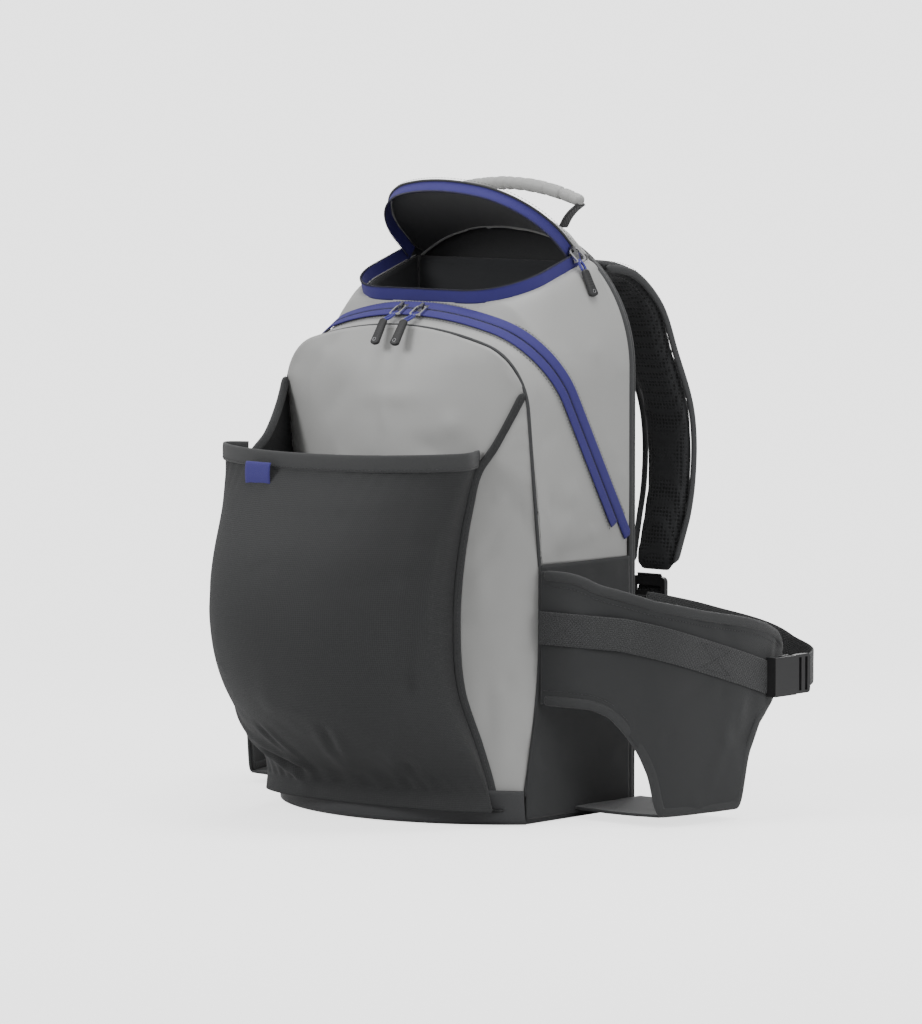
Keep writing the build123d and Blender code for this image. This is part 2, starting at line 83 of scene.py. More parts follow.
camera_data = bpy.data.cameras.new("camera")
camera_data.lens = 228.5
camera_data.sensor_width = 36.0
camera_data.clip_end = 100.0
camera = bpy.data.objects.new("camera", camera_data)
bpy.context.scene.collection.objects.link(camera)
aim = Vector((-0.006, 0.0, 0.224))
camera.location = (3.227, -3.787, 0.660)
camera.rotation_euler = (aim - camera.location).to_track_quat("-Z", "Y").to_euler()
bpy.context.scene.camera = camera

for name, place, size, power in (
    ("soft_box_left", (-1.5, -2.7, 2.0), 1.3, 70.0),
    ("soft_box_right", (2.9, -0.4, 1.3), 1.5, 34.0),
    ("soft_box_above", (0.2, 0.1, 2.4), 1.2, 34.0),
    ("soft_box_behind", (-1.0, 2.5, 1.5), 1.5, 26.0),
):
    lamp_data = bpy.data.lights.new(name, "AREA")
    lamp_data.energy, lamp_data.size = power, size
    lamp = bpy.data.objects.new(name, lamp_data)
    lamp.location = place
    lamp.rotation_euler = (Vector((0, 0, 0.2)) - Vector(place)).to_track_quat("-Z", "Y").to_euler()
    bpy.context.scene.collection.objects.link(lamp)

world = bpy.data.worlds.new("backdrop")
bpy.context.scene.world = world
world.use_nodes = True
tree = world.node_tree
strength = ramp(tree, camera_ray(tree), 0.55, 2.7)
feed(tree, tree.nodes["Background"], {"Color": (1.0, 1.0, 1.0, 1), "Strength": strength})

floor_mesh = bpy.data.meshes.new("floor")
floor_mesh.from_pydata([(-4, -4, 0), (4, -4, 0), (4, 4, 0), (-4, 4, 0)], [], [(0, 1, 2, 3)])
paper_floor = bpy.data.objects.new("floor", floor_mesh)
bpy.context.scene.collection.objects.link(paper_floor)
paper, tree, shader = new_look("studio_paper")
place = new_node(tree, "TexCoord", {}).outputs["Object"]
far = new_node(tree, "VectorMath", {0: place}, operation="LENGTH").outputs["Value"]
fade = {"From Min": 0.45, "From Max": 1.3, "To Min": 1.0, "To Max": 0.0, "Value": far}
alpha = new_node(tree, "MapRange", fade, interpolation_type="SMOOTHSTEP").outputs["Result"]
glow = ramp(tree, camera_ray(tree), 0.0, 1.8)
white = (1, 1, 1, 1)
paper_inputs = {"Base Color": (0.72, 0.72, 0.72, 1), "Roughness": 0.9, "Alpha": alpha}
feed(tree, shader, paper_inputs | {"Emission Color": white, "Emission Strength": glow})
floor_mesh.materials.append(paper)


# ---- base ---------------------------------------------------------------------------------
# Flat board wrapped in charcoal coated fabric, and a moulded wrap of the same fabric round the
# front of the bottom, boat-shaped along its upper edge and sewn to the shell.
def surface(name, points, material, thickness=0.0, offset=-1.0, loop=False, caps=False, subdivide=0):
    """Mesh of the grid points[i, j] in millimetres: one quad between neighbours, closed along j when loop
    is set and with both ends filled when caps is set. Its UVs are metres along each way of the grid."""
    rows, columns = points.shape[:2]
    number = np.arange(rows * columns).reshape(rows, columns)
    if loop:
        number = np.concatenate([number, number[:, :1]], axis=1)
    quads = np.stack([number[:-1, :-1], number[1:, :-1], number[1:, 1:], number[:-1, 1:]], axis=-1).reshape(-1, 4)
    faces = quads.tolist()
    if caps:
        faces.append(number[0, :columns].tolist())
        faces.append(number[-1, :columns][::-1].tolist())
    mesh = bpy.data.meshes.new(name)
    mesh.from_pydata((points.reshape(-1, 3) * 0.001).tolist(), [], faces)
    closed = np.concatenate([points, points[:, :1]], axis=1) if loop else points
    down = np.linalg.norm(np.diff(closed, axis=0), axis=2).mean(axis=1)
    across = np.linalg.norm(np.diff(closed, axis=1), axis=2).mean(axis=0)
    u = np.concatenate([[0.0], np.cumsum(down)]) * 0.001
    v = np.concatenate([[0.0], np.cumsum(across)]) * 0.001
    plan = np.stack(np.meshgrid(u, v, indexing="ij"), axis=-1)
    corners = np.stack([plan[:-1, :-1], plan[1:, :-1], plan[1:, 1:], plan[:-1, 1:]], axis=2).reshape(-1, 2)
    if caps:
        corners = np.concatenate([corners, np.zeros((2 * columns, 2))])
    mesh.uv_layers.new(name="metres").data.foreach_set("uv", corners.ravel())
    mesh.polygons.foreach_set("use_smooth", np.ones(len(faces), bool))
    mesh.validate()
    mesh.materials.append(material)
    piece = bpy.data.objects.new(name, mesh)
    bpy.context.scene.collection.objects.link(piece)
    if thickness:
        solid = piece.modifiers.new("fabric_thickness", "SOLIDIFY")
        solid.thickness, solid.offset = thickness * 0.001, offset
    if subdivide:
        smooth = piece.modifiers.new("rounding", "SUBSURF")
        smooth.levels = smooth.render_levels = subdivide
    return piece


def through(at, knots, values):
    """Smooth curve through values at their knots, one number or many side by side at each: cubic Hermite
    pieces whose slopes are the central differences."""
    slope = np.gradient(values, knots, axis=0)
    i = np.clip(np.searchsorted(knots, at, side="right") - 1, 0, len(knots) - 2)
    shape = np.shape(at) + (1,) * (values.ndim - 1)
    gap = np.reshape(knots[i + 1] - knots[i], shape)
    t = np.reshape(at - knots[i], shape) / gap
    return (
        (2 * t**3 - 3 * t**2 + 1) * values[i]
        + (t**3 - 2 * t**2 + t) * gap * slope[i]
        + (3 * t**2 - 2 * t**3) * values[i + 1]
        + (t**3 - t**2) * gap * slope[i + 1]
    )


def run(at, knots, values):
    """Smooth line through (knots, values), level beyond its two ends."""
    return through(np.clip(at, knots[0], knots[-1]), np.asarray(knots, float), np.asarray(values, float))


def bell(value, width):
    """Gaussian that is 1 where the value is 0."""
    return np.exp(-((value / width) ** 2))


def xyz(*parts):
    """Coordinates side by side in a last axis, each spread over the shape that they share."""
    return np.stack(np.broadcast_arrays(*parts), -1)


def put(piece, slot, body=None, *nodes):
    """Attaches a piece to the body it rides on and hides the CAD nodes it stands for; its slot is not used."""
    if body:
        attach(piece, body)
    if nodes:
        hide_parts(*nodes)


# Multiplying a colour this way paints shade into it: the weave's hollows and the mesh's holes are darkened with it.
def painted_shading(tree, colour, by):
    """Output of a colour times a factor."""
    inputs = {"Factor": 1.0, "A": colour, "B": by}
    return new_node(tree, "Mix", inputs, data_type="RGBA", blend_type="MULTIPLY").outputs["Result"]


def mottled(tree, factor, colour, spread):
    """Output that runs from a darker tone of the colour to a lighter one."""
    dark, light = (tuple(min(c * k, 1) for c in colour) + (1,) for k in (1 - spread, 1 + spread))
    return new_node(tree, "Mix", {"A": dark, "B": light, "Factor": factor}, data_type="RGBA").outputs["Result"]


def woven(name, colour, thread=0.7, relief=0.25, rough=0.7, sheen=0.15, mottle=0.10, on="UV", coat=0.0, nap=0.0):
    """Plain weave of threads that are `thread` millimetres apart: two sine bands that take turns on a checker
    board, over a slow mottling of the colour. A nap adds a fine fuzz in place of part of the weave."""
    look, tree, shader = new_look(name)
    place = new_node(tree, "TexCoord", {}).outputs
    bands = {"Scale": 314.159 / thread, "Vector": place[on]}
    weft, warp = (new_node(tree, "TexWave", bands, bands_direction=way).outputs["Fac"] for way in "XY")
    turns = new_node(tree, "TexChecker", {"Scale": 1000.0 / thread, "Vector": place[on]}).outputs["Fac"]
    weave = new_node(tree, "Mix", {"Factor": turns, "A": weft, "B": warp}).outputs["Result"]
    fuzz = new_node(tree, "TexNoise", {"Scale": 1600.0, "Detail": 3.0, "Vector": place["Object"]}).outputs["Fac"]
    height = new_node(tree, "Mix", {"Factor": nap, "A": weave, "B": fuzz}).outputs["Result"]
    bump = new_node(tree, "Bump", {"Strength": relief, "Distance": thread * 0.0004, "Height": height})
    slow = {"Scale": 14.0, "Detail": 6.0, "Roughness": 0.62, "Vector": place["Object"]}
    patch = new_node(tree, "TexNoise", slow).outputs["Fac"]
    feed(tree, shader, {
        # Base colour: slow mottle times a ramp of the weave's height, which is painted shade in the weave's hollows
        # and a faint painted highlight on its raised threads.
        "Base Color": painted_shading(tree, mottled(tree, patch, colour, mottle), ramp(tree, height, 0.86, 1.06)),
        "Roughness": ramp(tree, patch, rough - 0.08, rough + 0.08),
        "Normal": bump.outputs["Normal"],
        "Sheen Weight": sheen,
        "Sheen Roughness": 0.45,
        "Coat Weight": coat,
        "Coat Roughness": 0.45,
    })
    return look


def curved_front(x, side_y, middle_y, half):
    """Plan line of the front: the circle through both side seams and the fullest point in the middle."""
    rise = side_y - middle_y
    radius = (half**2 + rise**2) / (2 * rise)
    return middle_y + radius - np.sqrt(np.maximum(radius**2 - x**2, 0))


charcoal = woven(
    "charcoal_coated_fabric", (0.033, 0.034, 0.036), thread=0.9, relief=0.35, rough=0.55, sheen=0.1, coat=0.08
)
across = np.linspace(-1, 1, 121)[:, None]
around_edge = np.linspace(0, 1, 9)[None, :]
wrap_x = 122.6 * np.sin(across * np.pi / 2) + 0 * around_edge
wrap_top = np.interp(wrap_x, (-122.6, -60, 10, 90, 122.6), (26.0, 27.0, 29.5, 27.5, 26.5))
wrap_z = 1.2 + (wrap_top - 1.2) * around_edge
wrap_y = curved_front(wrap_x, -77.2, -128.6, 123.4) + 2.4 * (1 - around_edge) ** 2
base_wrap = surface("base_wrap_fabric", xyz(wrap_x, wrap_y, wrap_z)[:, ::-1], charcoal, thickness=2.0)
put(base_wrap, "base_shell", "root", "base_wrap")

board_u = np.linspace(0, 1, 97)[:, None]
board_in = np.array([1.0, 1.0, 0.995, 0.985, 0.96, 0.5, 0.02])[None, :]
board_z = np.array([4.0, 1.4, 0.5, 0.1, 0.0, 0.0, 0.0])[None, :]
edge_x = np.interp(board_u, (0, 0.45, 0.6, 0.85, 1), (-120.6, 120.6, 120.6, -120.6, -120.6))
edge_y = np.where(
    board_u < 0.45, curved_front(edge_x, -74, -123.6, 120.6),
    np.interp(board_u, (0.45, 0.6, 0.85, 1), (-74, 45.6, 45.6, -74))
)
board_points = xyz(edge_x * board_in, -30 + (edge_y + 30) * board_in, board_z)[:-1]
base_board = surface("base_board_cover", np.concatenate([board_points, board_points[:1]]), charcoal)
top_in = np.array([0.02, 0.5, 0.97, 1.0])[None, :]
base_upper = surface(
    "base_board_inside",
    xyz(edge_x * top_in, -30 + (edge_y + 30) * top_in, np.array([4.0, 4.0, 4.0, 3.9])[None, :]),
    charcoal,
)
for piece in (base_board, base_upper):
    put(piece, "base_shell", "root", "base_panel")


# ---- back ---------------------------------------------------------------------------------
# Black lined fabric over a plastic frame sheet, edged with piping, with three foam pads
# covered in air mesh that lie against the wearer's back.
def arch_line(half, top, corner, crown, foot, count):
    """Line over an arch from its left foot to its right one: leg, corner arc, flat crown arc, corner arc and
    leg, with its points spaced evenly along it. Returns x and height, one pair for each point."""
    centre_x, crown_y = half - corner, top - crown
    corner_y = crown_y + np.sqrt((crown - corner) ** 2 - centre_x**2)
    turn = np.arctan2(corner_y - crown_y, centre_x)
    bend, brow = np.linspace(0, turn, 40), np.linspace(turn, np.pi / 2, 60)
    x = np.concatenate([[half], centre_x + corner * np.cos(bend), crown * np.cos(brow)])
    y = np.concatenate([[foot], corner_y + corner * np.sin(bend), crown_y + crown * np.sin(brow)])
    x, y = np.concatenate([-x, x[-2::-1]]), np.concatenate([y, y[-2::-1]])
    length = np.concatenate([[0], np.cumsum(np.hypot(np.diff(x), np.diff(y)))])
    even = np.linspace(0, length[-1], count)
    return xyz(np.interp(even, length, x), np.interp(even, length, y))


DOOR_PLANE = (-58.0, 195.0, 6.45)  # y and z of a point in millimetres, and how far the plane leans in degrees
ZIP_PLANE = (45.0, 200.0, 30.5)
HOOD_PLANE = (34.0, 424.0, 49.0)


def lean(flat, y, z, degrees, back=0.0):
    """Places (x, height) pairs on a plane through (y, z) that leans forward, moved back off it by `back`."""
    s, c = np.sin(np.radians(degrees)), np.cos(np.radians(degrees))
    x, height = flat[..., 0], flat[..., 1]
    return xyz(x, y - s * height + c * back, z + c * height + s * back)


def lengths(path):
    """How far along a path each of its points is."""
    return np.concatenate([[0], np.cumsum(np.linalg.norm(np.diff(path, axis=0), axis=1))])


def superellipse(turn, power):
    """Its x and y at each angle, both from -1 to 1."""
    return tuple(np.sign(wave) * np.abs(wave) ** (2 / power) for wave in (np.cos(turn), np.sin(turn)))


def swept(name, path, material, width, height, across, power=2.0, sides=14, taper=0.0, **finish):
    """Band or cord along a path: a superellipse of that width and height whose width lies along `across`.
    A taper rounds both ends off over that many millimetres."""
    path = np.asarray(path, float)
    way = np.gradient(path, axis=0)
    way /= np.linalg.norm(way, axis=1, keepdims=True)
    wide = np.broadcast_to(np.asarray(across, float), path.shape)
    wide = wide - way * (wide * way).sum(1, keepdims=True)
    wide = wide / np.linalg.norm(wide, axis=1, keepdims=True)
    high = np.cross(way, wide)
    turn = np.linspace(0, 2 * np.pi, sides, endpoint=False)
    round_x, round_y = superellipse(turn, power)
    grow = np.ones(len(path))
    if taper:
        length = lengths(path)
        near = np.clip(np.minimum(length, length[-1] - length) / taper, 0, 1)
        grow = 0.25 + 0.75 * np.sqrt(1 - (1 - near) ** 2)
    points = (
        path[:, None]
        + wide[:, None] * (round_x[None, :, None] * np.asarray(width)[..., None, None] / 2 * grow[:, None, None])
        + high[:, None] * (round_y[None, :, None] * np.asarray(height)[..., None, None] / 2 * grow[:, None, None])
    )
    return surface(name, points, material, loop=True, caps=True, **finish)


def along_line(path, step):
    """Points every `step` millimetres along a path, with its direction at each."""
    path = np.asarray(path, float)
    length = lengths(path)
    at = np.arange(step / 2, length[-1], step)
    points = np.stack([np.interp(at, length, path[:, k]) for k in range(3)], -1)
    way = np.gradient(path, axis=0)
    ways = np.stack([np.interp(at, length, way[:, k]) for k in range(3)], -1)
    return points, ways / np.linalg.norm(ways, axis=1, keepdims=True), at / length[-1]


def grains(name, at, way, up, size, material):
    """One small rounded grain at each point, `size` millimetres along, across and high: two rings of four
    points and two tips, which is the shape of a stitch or of one side of a coil tooth."""
    ring = np.array([(0, 1, 0), (0, 0, 1), (0, -1, 0), (0, 0, -1)], float)
    grain = np.concatenate([[(-1, 0, 0)], ring * 0.9 + (-0.55, 0, 0), ring * 0.9 + (0.55, 0, 0), [(1, 0, 0)]])
    grain = grain * np.asarray(size, float) / 2
    a, b = np.arange(4), np.roll(np.arange(4), -1)
    faces = [(0, 1 + j, 1 + i) for i, j in zip(a, b)]
    faces += [(1 + i, 1 + j, 5 + j, 5 + i) for i, j in zip(a, b)] + [(5 + i, 5 + j, 9) for i, j in zip(a, b)]
    up = np.broadcast_to(np.asarray(up, float), at.shape)
    side = np.cross(up, way)
    side /= np.linalg.norm(side, axis=1, keepdims=True)
    up = np.cross(way, side)
    points = (
        at[:, None] + way[:, None] * grain[None, :, :1] + side[:, None] * grain[None, :, 1:2] + up[:, None]
        * grain[None, :, 2:]
    )
    mesh = bpy.data.meshes.new(name)
    every = np.arange(len(at))[:, None] * len(grain)
    triangles = (np.array([f for f in faces if len(f) == 3])[None] + every[..., None]).reshape(-1, 3).tolist()
    quads = (np.array([f for f in faces if len(f) == 4])[None] + every[..., None]).reshape(-1, 4).tolist()
    mesh.from_pydata((points.reshape(-1, 3) * 0.001).tolist(), [], triangles + quads)
    mesh.polygons.foreach_set("use_smooth", np.ones(len(triangles) + len(quads), bool))
    mesh.materials.append(material)
    piece = bpy.data.objects.new(name, mesh)
    bpy.context.scene.collection.objects.link(piece)
    return piece


def stitches(name, path, step, size, thread, up=None, centre=None):
    """Row of stitches along a path that stand up along `up`, or else away from a centre."""
    at, way, _ = along_line(path, step)
    return grains(name, at, way, at - centre if up is None else up, size, thread)


def open_mesh(name, colour, pitch=3.0, hole=0.35, rough=0.85, on="UV", relief=0.8, depth=0.35):
    """Knitted spacer mesh: rounded cells `pitch` millimetres apart, dark and sunk at their middles."""
    look = woven(name, colour, thread=0.6, relief=0.2, rough=rough, sheen=0.05, on=on)
    tree = look.node_tree
    shader = tree.nodes["Principled BSDF"]
    plain, grain = (shader.inputs[key].links[0].from_socket for key in ("Base Color", "Normal"))
    place = new_node(tree, "TexCoord", {}).outputs[on]
    cells = new_node(tree, "TexVoronoi", {"Scale": 1000.0 / pitch, "Randomness": 0.12, "Vector": place})
    edge = {"From Min": hole - 0.12, "From Max": hole + 0.12, "To Min": depth, "To Max": 1.0}
    edge["Value"] = cells.outputs["Distance"]
    rim = new_node(tree, "MapRange", edge, interpolation_type="SMOOTHSTEP").outputs["Result"]
    sunk = new_node(tree, "Bump", {"Strength": relief, "Distance": 0.0006, "Height": rim, "Normal": grain})
    # The cells' sunk middles are painted darker as well as bumped: painted shade in the mesh's holes.
    feed(tree, shader, {"Base Color": painted_shading(tree, plain, rim), "Normal": sunk.outputs["Normal"]})
    return look


def filled(name, points, puff, cap, material, subdivide=1):
    """Foam piece from a closed grid: remeshed evenly, blown up a little by a cloth run with no gravity,
    each point held within `cap` millimetres of where it began."""
    start = surface(name, points, material, loop=True, caps=True)
    even = start.modifiers.new("even", "REMESH")
    even.mode, even.voxel_size = "VOXEL", 0.005
    bpy.context.view_layer.update()
    mesh = bpy.data.meshes.new_from_object(start.evaluated_get(bpy.context.evaluated_depsgraph_get()))
    bpy.data.objects.remove(start)
    piece = bpy.data.objects.new(name, mesh)
    bpy.context.scene.collection.objects.link(piece)
    rest = np.empty(len(mesh.vertices) * 3)
    mesh.vertices.foreach_get("co", rest)
    cloth = piece.modifiers.new("stuffing", "CLOTH")
    cloth.settings.use_pressure, cloth.settings.uniform_pressure_force = True, puff
    cloth.settings.effector_weights.gravity = 0.0
    cloth.settings.quality = 4
    cloth.point_cache.frame_end = 20
    for step in range(1, 21):
        bpy.context.scene.frame_set(step)
    blown = bpy.data.meshes.new_from_object(piece.evaluated_get(bpy.context.evaluated_depsgraph_get()))
    now = np.empty(len(blown.vertices) * 3)
    blown.vertices.foreach_get("co", now)
    piece.modifiers.remove(cloth)
    move = (now - rest).reshape(-1, 3)
    size = np.linalg.norm(move, axis=1, keepdims=True)
    move *= np.minimum(1.0, cap * 0.001 / np.maximum(size, 1e-9))
    mesh.vertices.foreach_set("co", rest + move.ravel())
    bpy.context.scene.frame_set(1)
    bpy.data.meshes.remove(blown)
    mesh.polygons.foreach_set("use_smooth", np.ones(len(mesh.polygons), bool))
    mesh.materials.clear()
    mesh.materials.append(material)
    if subdivide:
        smooth = piece.modifiers.new("rounding", "SUBSURF")
        smooth.levels = smooth.render_levels = subdivide
    return piece


black_fabric = woven("black_ripstop", (0.022, 0.023, 0.024), thread=0.8, relief=0.35, rough=0.72, sheen=0.12)
piping_look = woven("dark_piping", (0.036, 0.037, 0.039), thread=0.5, relief=0.4, rough=0.6, sheen=0.1)
black_thread = woven("black_thread", (0.030, 0.030, 0.032), thread=0.25, relief=0.5, rough=0.6, on="Object")
back_outline = arch_line(123.0, 444.0, 104.0, 179.0, 4.3, 161)
back_foot = xyz(np.linspace(123.0, -123.0, 41)[1:], 4.3)
back_outline = np.concatenate([back_outline, back_foot])
shrink = np.linspace(0, 1, 31)[None, :, None]
back_middle = np.array([0.0, 200.0])
back_flat = (
    back_outline[:, None] * (1 - shrink) + (back_middle + (back_outline[:, None] - back_middle) * 0.003) * shrink
)
back_skin = lean(back_flat, 50.0, 0.0, 0)
back_skin[..., 1] += -0.7 * bell(shrink[..., 0], 0.03)
back_panel = surface("back_panel_fabric", back_skin[::-1], black_fabric, thickness=3.6)
put(back_panel, "black_fabric", "root", "back_panel")
edge_path = lean(arch_line(122.9, 443.9, 103.9, 178.9, 5.0, 200), 48.0, 0.0, 0)
put(swept("back_seam_binding", edge_path, piping_look, 5.4, 3.0, (0, 1, 0), sides=10), "black_fabric", "root")
back_row = lean(arch_line(119.0, 440.0, 100.0, 175.0, 6.0, 200), 50.1, 0.0, 0)
back_stitch = stitches("back_seam_stitches", back_row, 3.2, (2.3, 0.5, 0.4), black_thread, up=(0, 1, 0))
put(back_stitch, "black_fabric", "root")

turn = np.linspace(0, 2 * np.pi, 64, endpoint=False)
for name, x, z, width, height in (
    ("back_pad_left", -62, 250, 84, 210), ("back_pad_right", 62, 250, 84, 210), ("back_pad_lumbar", 0, 82, 176, 90)
):
    rim_x, rim_z = superellipse(turn, 5)
    rim_x, rim_z = rim_x * (width / 2 - 2), rim_z * (height / 2 - 2)
    level = np.array([51.0, 52.5, 56.0, 59.0, 60.6, 61.0])
    inward = np.array([2.0, 0.4, 0.0, 1.5, 5.0, 11.0])
    keep_x, keep_z = 1 - inward / (width / 2), 1 - inward / (height / 2)
    pad = xyz(x + rim_x[None] * keep_x[:, None], level[:, None], z + rim_z[None] * keep_z[:, None])
    pad_piece = filled(
        name, pad, 3.0, 2.2, open_mesh("air_mesh_" + name, (0.034, 0.035, 0.037), pitch=3.4, hole=0.36, on="Object")
    )
    put(pad_piece, "mesh_pad", "root", "back_pads")
    welt_path = xyz(x + np.append(rim_x, rim_x[0]) * 1.02, 50.9, z + np.append(rim_z, rim_z[0]) * 1.02)
    put(swept(name + "_welt", welt_path, piping_look, 3.0, 1.8, (0, 1, 0), sides=8), "black_fabric", "root")


def dress(look, *nodes):
    """Gives a finish to CAD nodes that are shown as they are."""
    for node in nodes:
        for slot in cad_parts[node].material_slots:
            slot.material = look


board_look = woven(
    "black_plastic_sheet", (0.03, 0.03, 0.032), thread=2.0, relief=0.1, rough=0.5, sheen=0.0, on="Object"
)
dress(board_look, "frame_sheet")


# ---- shell sides --------------------------------------------------------------------------
# Black ripstop with light padding behind it, one panel each side from the base to the waist, where
# the boots rub against the bag.
def normals(points):
    """Unit normals of a grid of points."""
    normal = np.cross(np.gradient(points, axis=0), np.gradient(points, axis=1))
    return normal / (np.linalg.norm(normal, axis=2, keepdims=True) + 1e-9)


def crumple(points, count, seed, height, length, width, hold=1.0):
    """Adds soft creases along the surface's normals: seeded ridges, each a Gaussian across its line and a
    longer one along it, every other one a valley. Where hold is 0, as at a seam, nothing moves."""
    random = np.random.default_rng(seed)
    flat = points.reshape(-1, 3)
    push = np.zeros(len(flat))
    for k in range(count):
        centre = flat[random.integers(len(flat))]
        way = random.normal(size=3)
        way /= np.linalg.norm(way)
        off = flat - centre
        along = off @ way
        aside = np.sqrt(np.maximum((off**2).sum(1) - along**2, 0))
        size = random.uniform(0.5, 1.0)
        push += (-1) ** k * size * np.exp(-((aside / (width * size)) ** 2) - (along / (length * size)) ** 2)
    return points + normals(points) * (push.reshape(points.shape[:2]) * height * hold)[..., None]


down = np.linspace(0, 1, 73)[:, None]
back_way = np.linspace(0, 1, 61)[None, :]
for side, name in ((-1, "left"), (1, "right")):
    panel_z = 4.6 + down * (192.0 - 4.6) + 0 * back_way
    seam_y = run(panel_z.ravel(), (4, 28, 100, 195), (-76.0, -75.2, -61.6, -58.4)).reshape(panel_z.shape)
    panel_y = seam_y + (45.4 - seam_y) * back_way
    panel_z = panel_z + 3.0 * down**6
    panel_x = side * (122.4 - 0.9 * bell(back_way, 0.02) + 0.7 * np.sin(np.pi * down) * np.sin(np.pi * back_way))
    panel_points = crumple(xyz(panel_x, panel_y, panel_z), 26, 11 + side, 0.55, 42, 9)
    put(
        surface("side_panel_fabric_" + name, panel_points[:, ::side], black_fabric, thickness=2.0), "black_fabric",
        "root", "side_panel_" + name
    )

# ---- front --------------------------------------------------------------------------------
# One panel of the same fabric from the base to the top; its sides and its arched top are piped, and
# above the waist it opens forward with the gusset and the front half of the main zip.
shell_look = woven(
    "grey_coated_polyester", (0.375, 0.376, 0.368), thread=0.55, relief=0.22, rough=0.5, sheen=0.2, mottle=0.05,
    coat=0.12
)
x_way = np.linspace(-1, 1, 161)[None, :]
rise = np.linspace(0, 1, 141)[:, None]
spread = np.sin(x_way * np.pi / 2)
arch_at = arch_line(119.6, 176.6, 48.6, 298.6, 0.0, 2001)
crest = 196.3 + np.cos(np.radians(6.45)) * np.interp(spread * 119.6, arch_at[200:1801, 0], arch_at[200:1801, 1])
front_z = 24.0 + rise * (crest - 24.0)
front_half = np.interp(front_z, (24, 150, 230, 374), (121.6, 121.4, 121.0, 120.8))
front_x = spread * front_half
side_y = (
    run(
        front_z.ravel(), (24, 100, 195, 300, 345, 374), (-74.8, -60.6, -57.6, -70.0, -75.0, -78.2)
    ).reshape(front_z.shape)
)
middle_y = (
    run(
        front_z.ravel(), (24, 100, 195, 300, 345, 374), (-126.0, -118.4, -111.4, -100.6, -91.4, -79.2)
    ).reshape(front_z.shape)
)
front_y = curved_front(front_x, side_y, np.minimum(middle_y, side_y - 0.4), front_half)
front_hold = np.clip((1 - np.abs(spread)) * 120 / 9, 0, 1) * np.clip((crest - front_z) / 10, 0, 1)
front_points = crumple(xyz(front_x, front_y, front_z), 44, 5, 1.5, 55, 11, hold=front_hold)
front_points[..., 1] += 1.2 * bell(front_z - 352, 14.0) * np.cos(front_x / 26.0) * np.exp(-((front_x / 100) ** 6))
pucker = np.sin(front_z / 3.1 + 4 * np.sin(front_z / 23.0)) * bell((1 - np.abs(spread)) * 120, 9.0)
pucker += (
    np.sin(front_x / 3.4 + 5 * np.sin(front_x / 31.0)) * bell(crest - front_z, 16.0)
    * (0.35 + (np.abs(front_x) > 60))
)
front_points[..., 1] += 0.32 * pucker
front_panel = surface("front_panel_fabric", front_points[:, ::-1], shell_look, thickness=2.0)
put(front_panel, "shell_fabric", None, "front_lower", "door_panel", "door_fold")

door_arch = lean(arch_line(121.0, 177.6, 49.6, 299.6, 0.0, 261), *DOOR_PLANE)
leg_z = np.linspace(22.0, 193.0, 44)
leg_y = run(leg_z, (24, 100, 195), (-75.6, -61.2, -58.2))
leg = xyz(-121.9, leg_y, leg_z)
bead_path = np.concatenate([leg, door_arch, (leg * (-1, 1, 1))[::-1]])
front_bead = swept("front_piping_bead", bead_path, piping_look, 2.7, 2.8, (0, 1, 0), sides=10)
put(front_bead, "piping", None, "door_piping")

# ---- side and top gusset ------------------------------------------------------------------
# Band of shell fabric between the front piping and the main zip, folded in softly at the waist.
def lofted(first, last, steps, swell=0.0, power=1.0):
    """Ruled surface between two lines of as many points, swollen outwards between them by a half sine."""
    t = np.linspace(0, 1, steps)[None, :, None] ** power
    flat = first[:, None] * (1 - t) + last[:, None] * t
    normal = normals(flat)
    outward = np.sign((normal * (flat - [0, 0, 230])).sum(2, keepdims=True).mean())
    return flat + normal * outward * swell * np.sin(np.pi * t)


gusset_front = lean(arch_line(121.6, 177.8, 49.8, 299.8, 0.0, 301), *DOOR_PLANE, back=1.2)
gusset_arch = arch_line(121.6, 211.4, 65.4, 239.4, -5.8, 301)
reach_back = np.interp(gusset_arch[:, 1], (-5.8, 8, 20, 50), (-2.7, 5.2, 4.0, -6.4))
gusset_back = lean(gusset_arch, *ZIP_PLANE, back=reach_back)
gusset_way = np.linspace(0, 1, 61)[None, :]
gusset_wide = np.linalg.norm(gusset_back - gusset_front, axis=1)[:, None]
gusset_hold = (
    np.clip(gusset_wide * gusset_way / 14.0, 0, 1) * np.clip(gusset_wide * (1 - gusset_way) / 16.0 - 0.6, 0, 1)
)
gusset_points = crumple(lofted(gusset_front, gusset_back, 61), 46, 21, 1.6, 40, 11, hold=gusset_hold)
door_gusset = surface("door_gusset_fabric", gusset_points, shell_look, thickness=1.8)
put(door_gusset, "shell_fabric", None, "door_gusset")


# ---- main zip -----------------------------------------------------------------------------
# Two coil zip tapes of blue twill, arched over the bag, one sewn to the gusset and one to the top.
# The coils sit folded under the tapes' inner edges and show as a dark line of fine teeth.
def tape(name, line, plane, near, far, material, lift=1.0):
    """Zip tape along an arch on a leaning plane, from `near` to `far` off it, rounded over at its inner edge."""
    part = np.linspace(0, 1, 9)[None, :, None]
    at = near + (far - near) * part[..., 0]
    roll = 0.7 * bell(part[..., 0], 0.12)
    flat = line[:, None] + 0 * part
    along = np.gradient(line, axis=0)
    outward = xyz(-along[:, 1], along[:, 0]) / np.linalg.norm(along, axis=1, keepdims=True)
    flat = flat + outward[:, None] * (lift - roll)[..., None]
    return surface(name, lean(flat, *plane, back=at), material, thickness=1.0, offset=0.0)


twill = woven("blue_zip_twill", (0.032, 0.025, 0.185), thread=0.45, relief=0.4, rough=0.75, sheen=0.08, mottle=0.06)
coil_look = woven("dark_coil", (0.022, 0.022, 0.040), thread=0.3, relief=0.3, rough=0.42, sheen=0.0, on="Object")
thread_look = woven("grey_thread", (0.12, 0.12, 0.12), thread=0.25, relief=0.5, rough=0.6, on="Object")
SEAM_STITCH = (2.3, 0.65, 0.6)  # length, width and height in millimetres
PITCH = 3.1  # from one stitch of a seam to the next


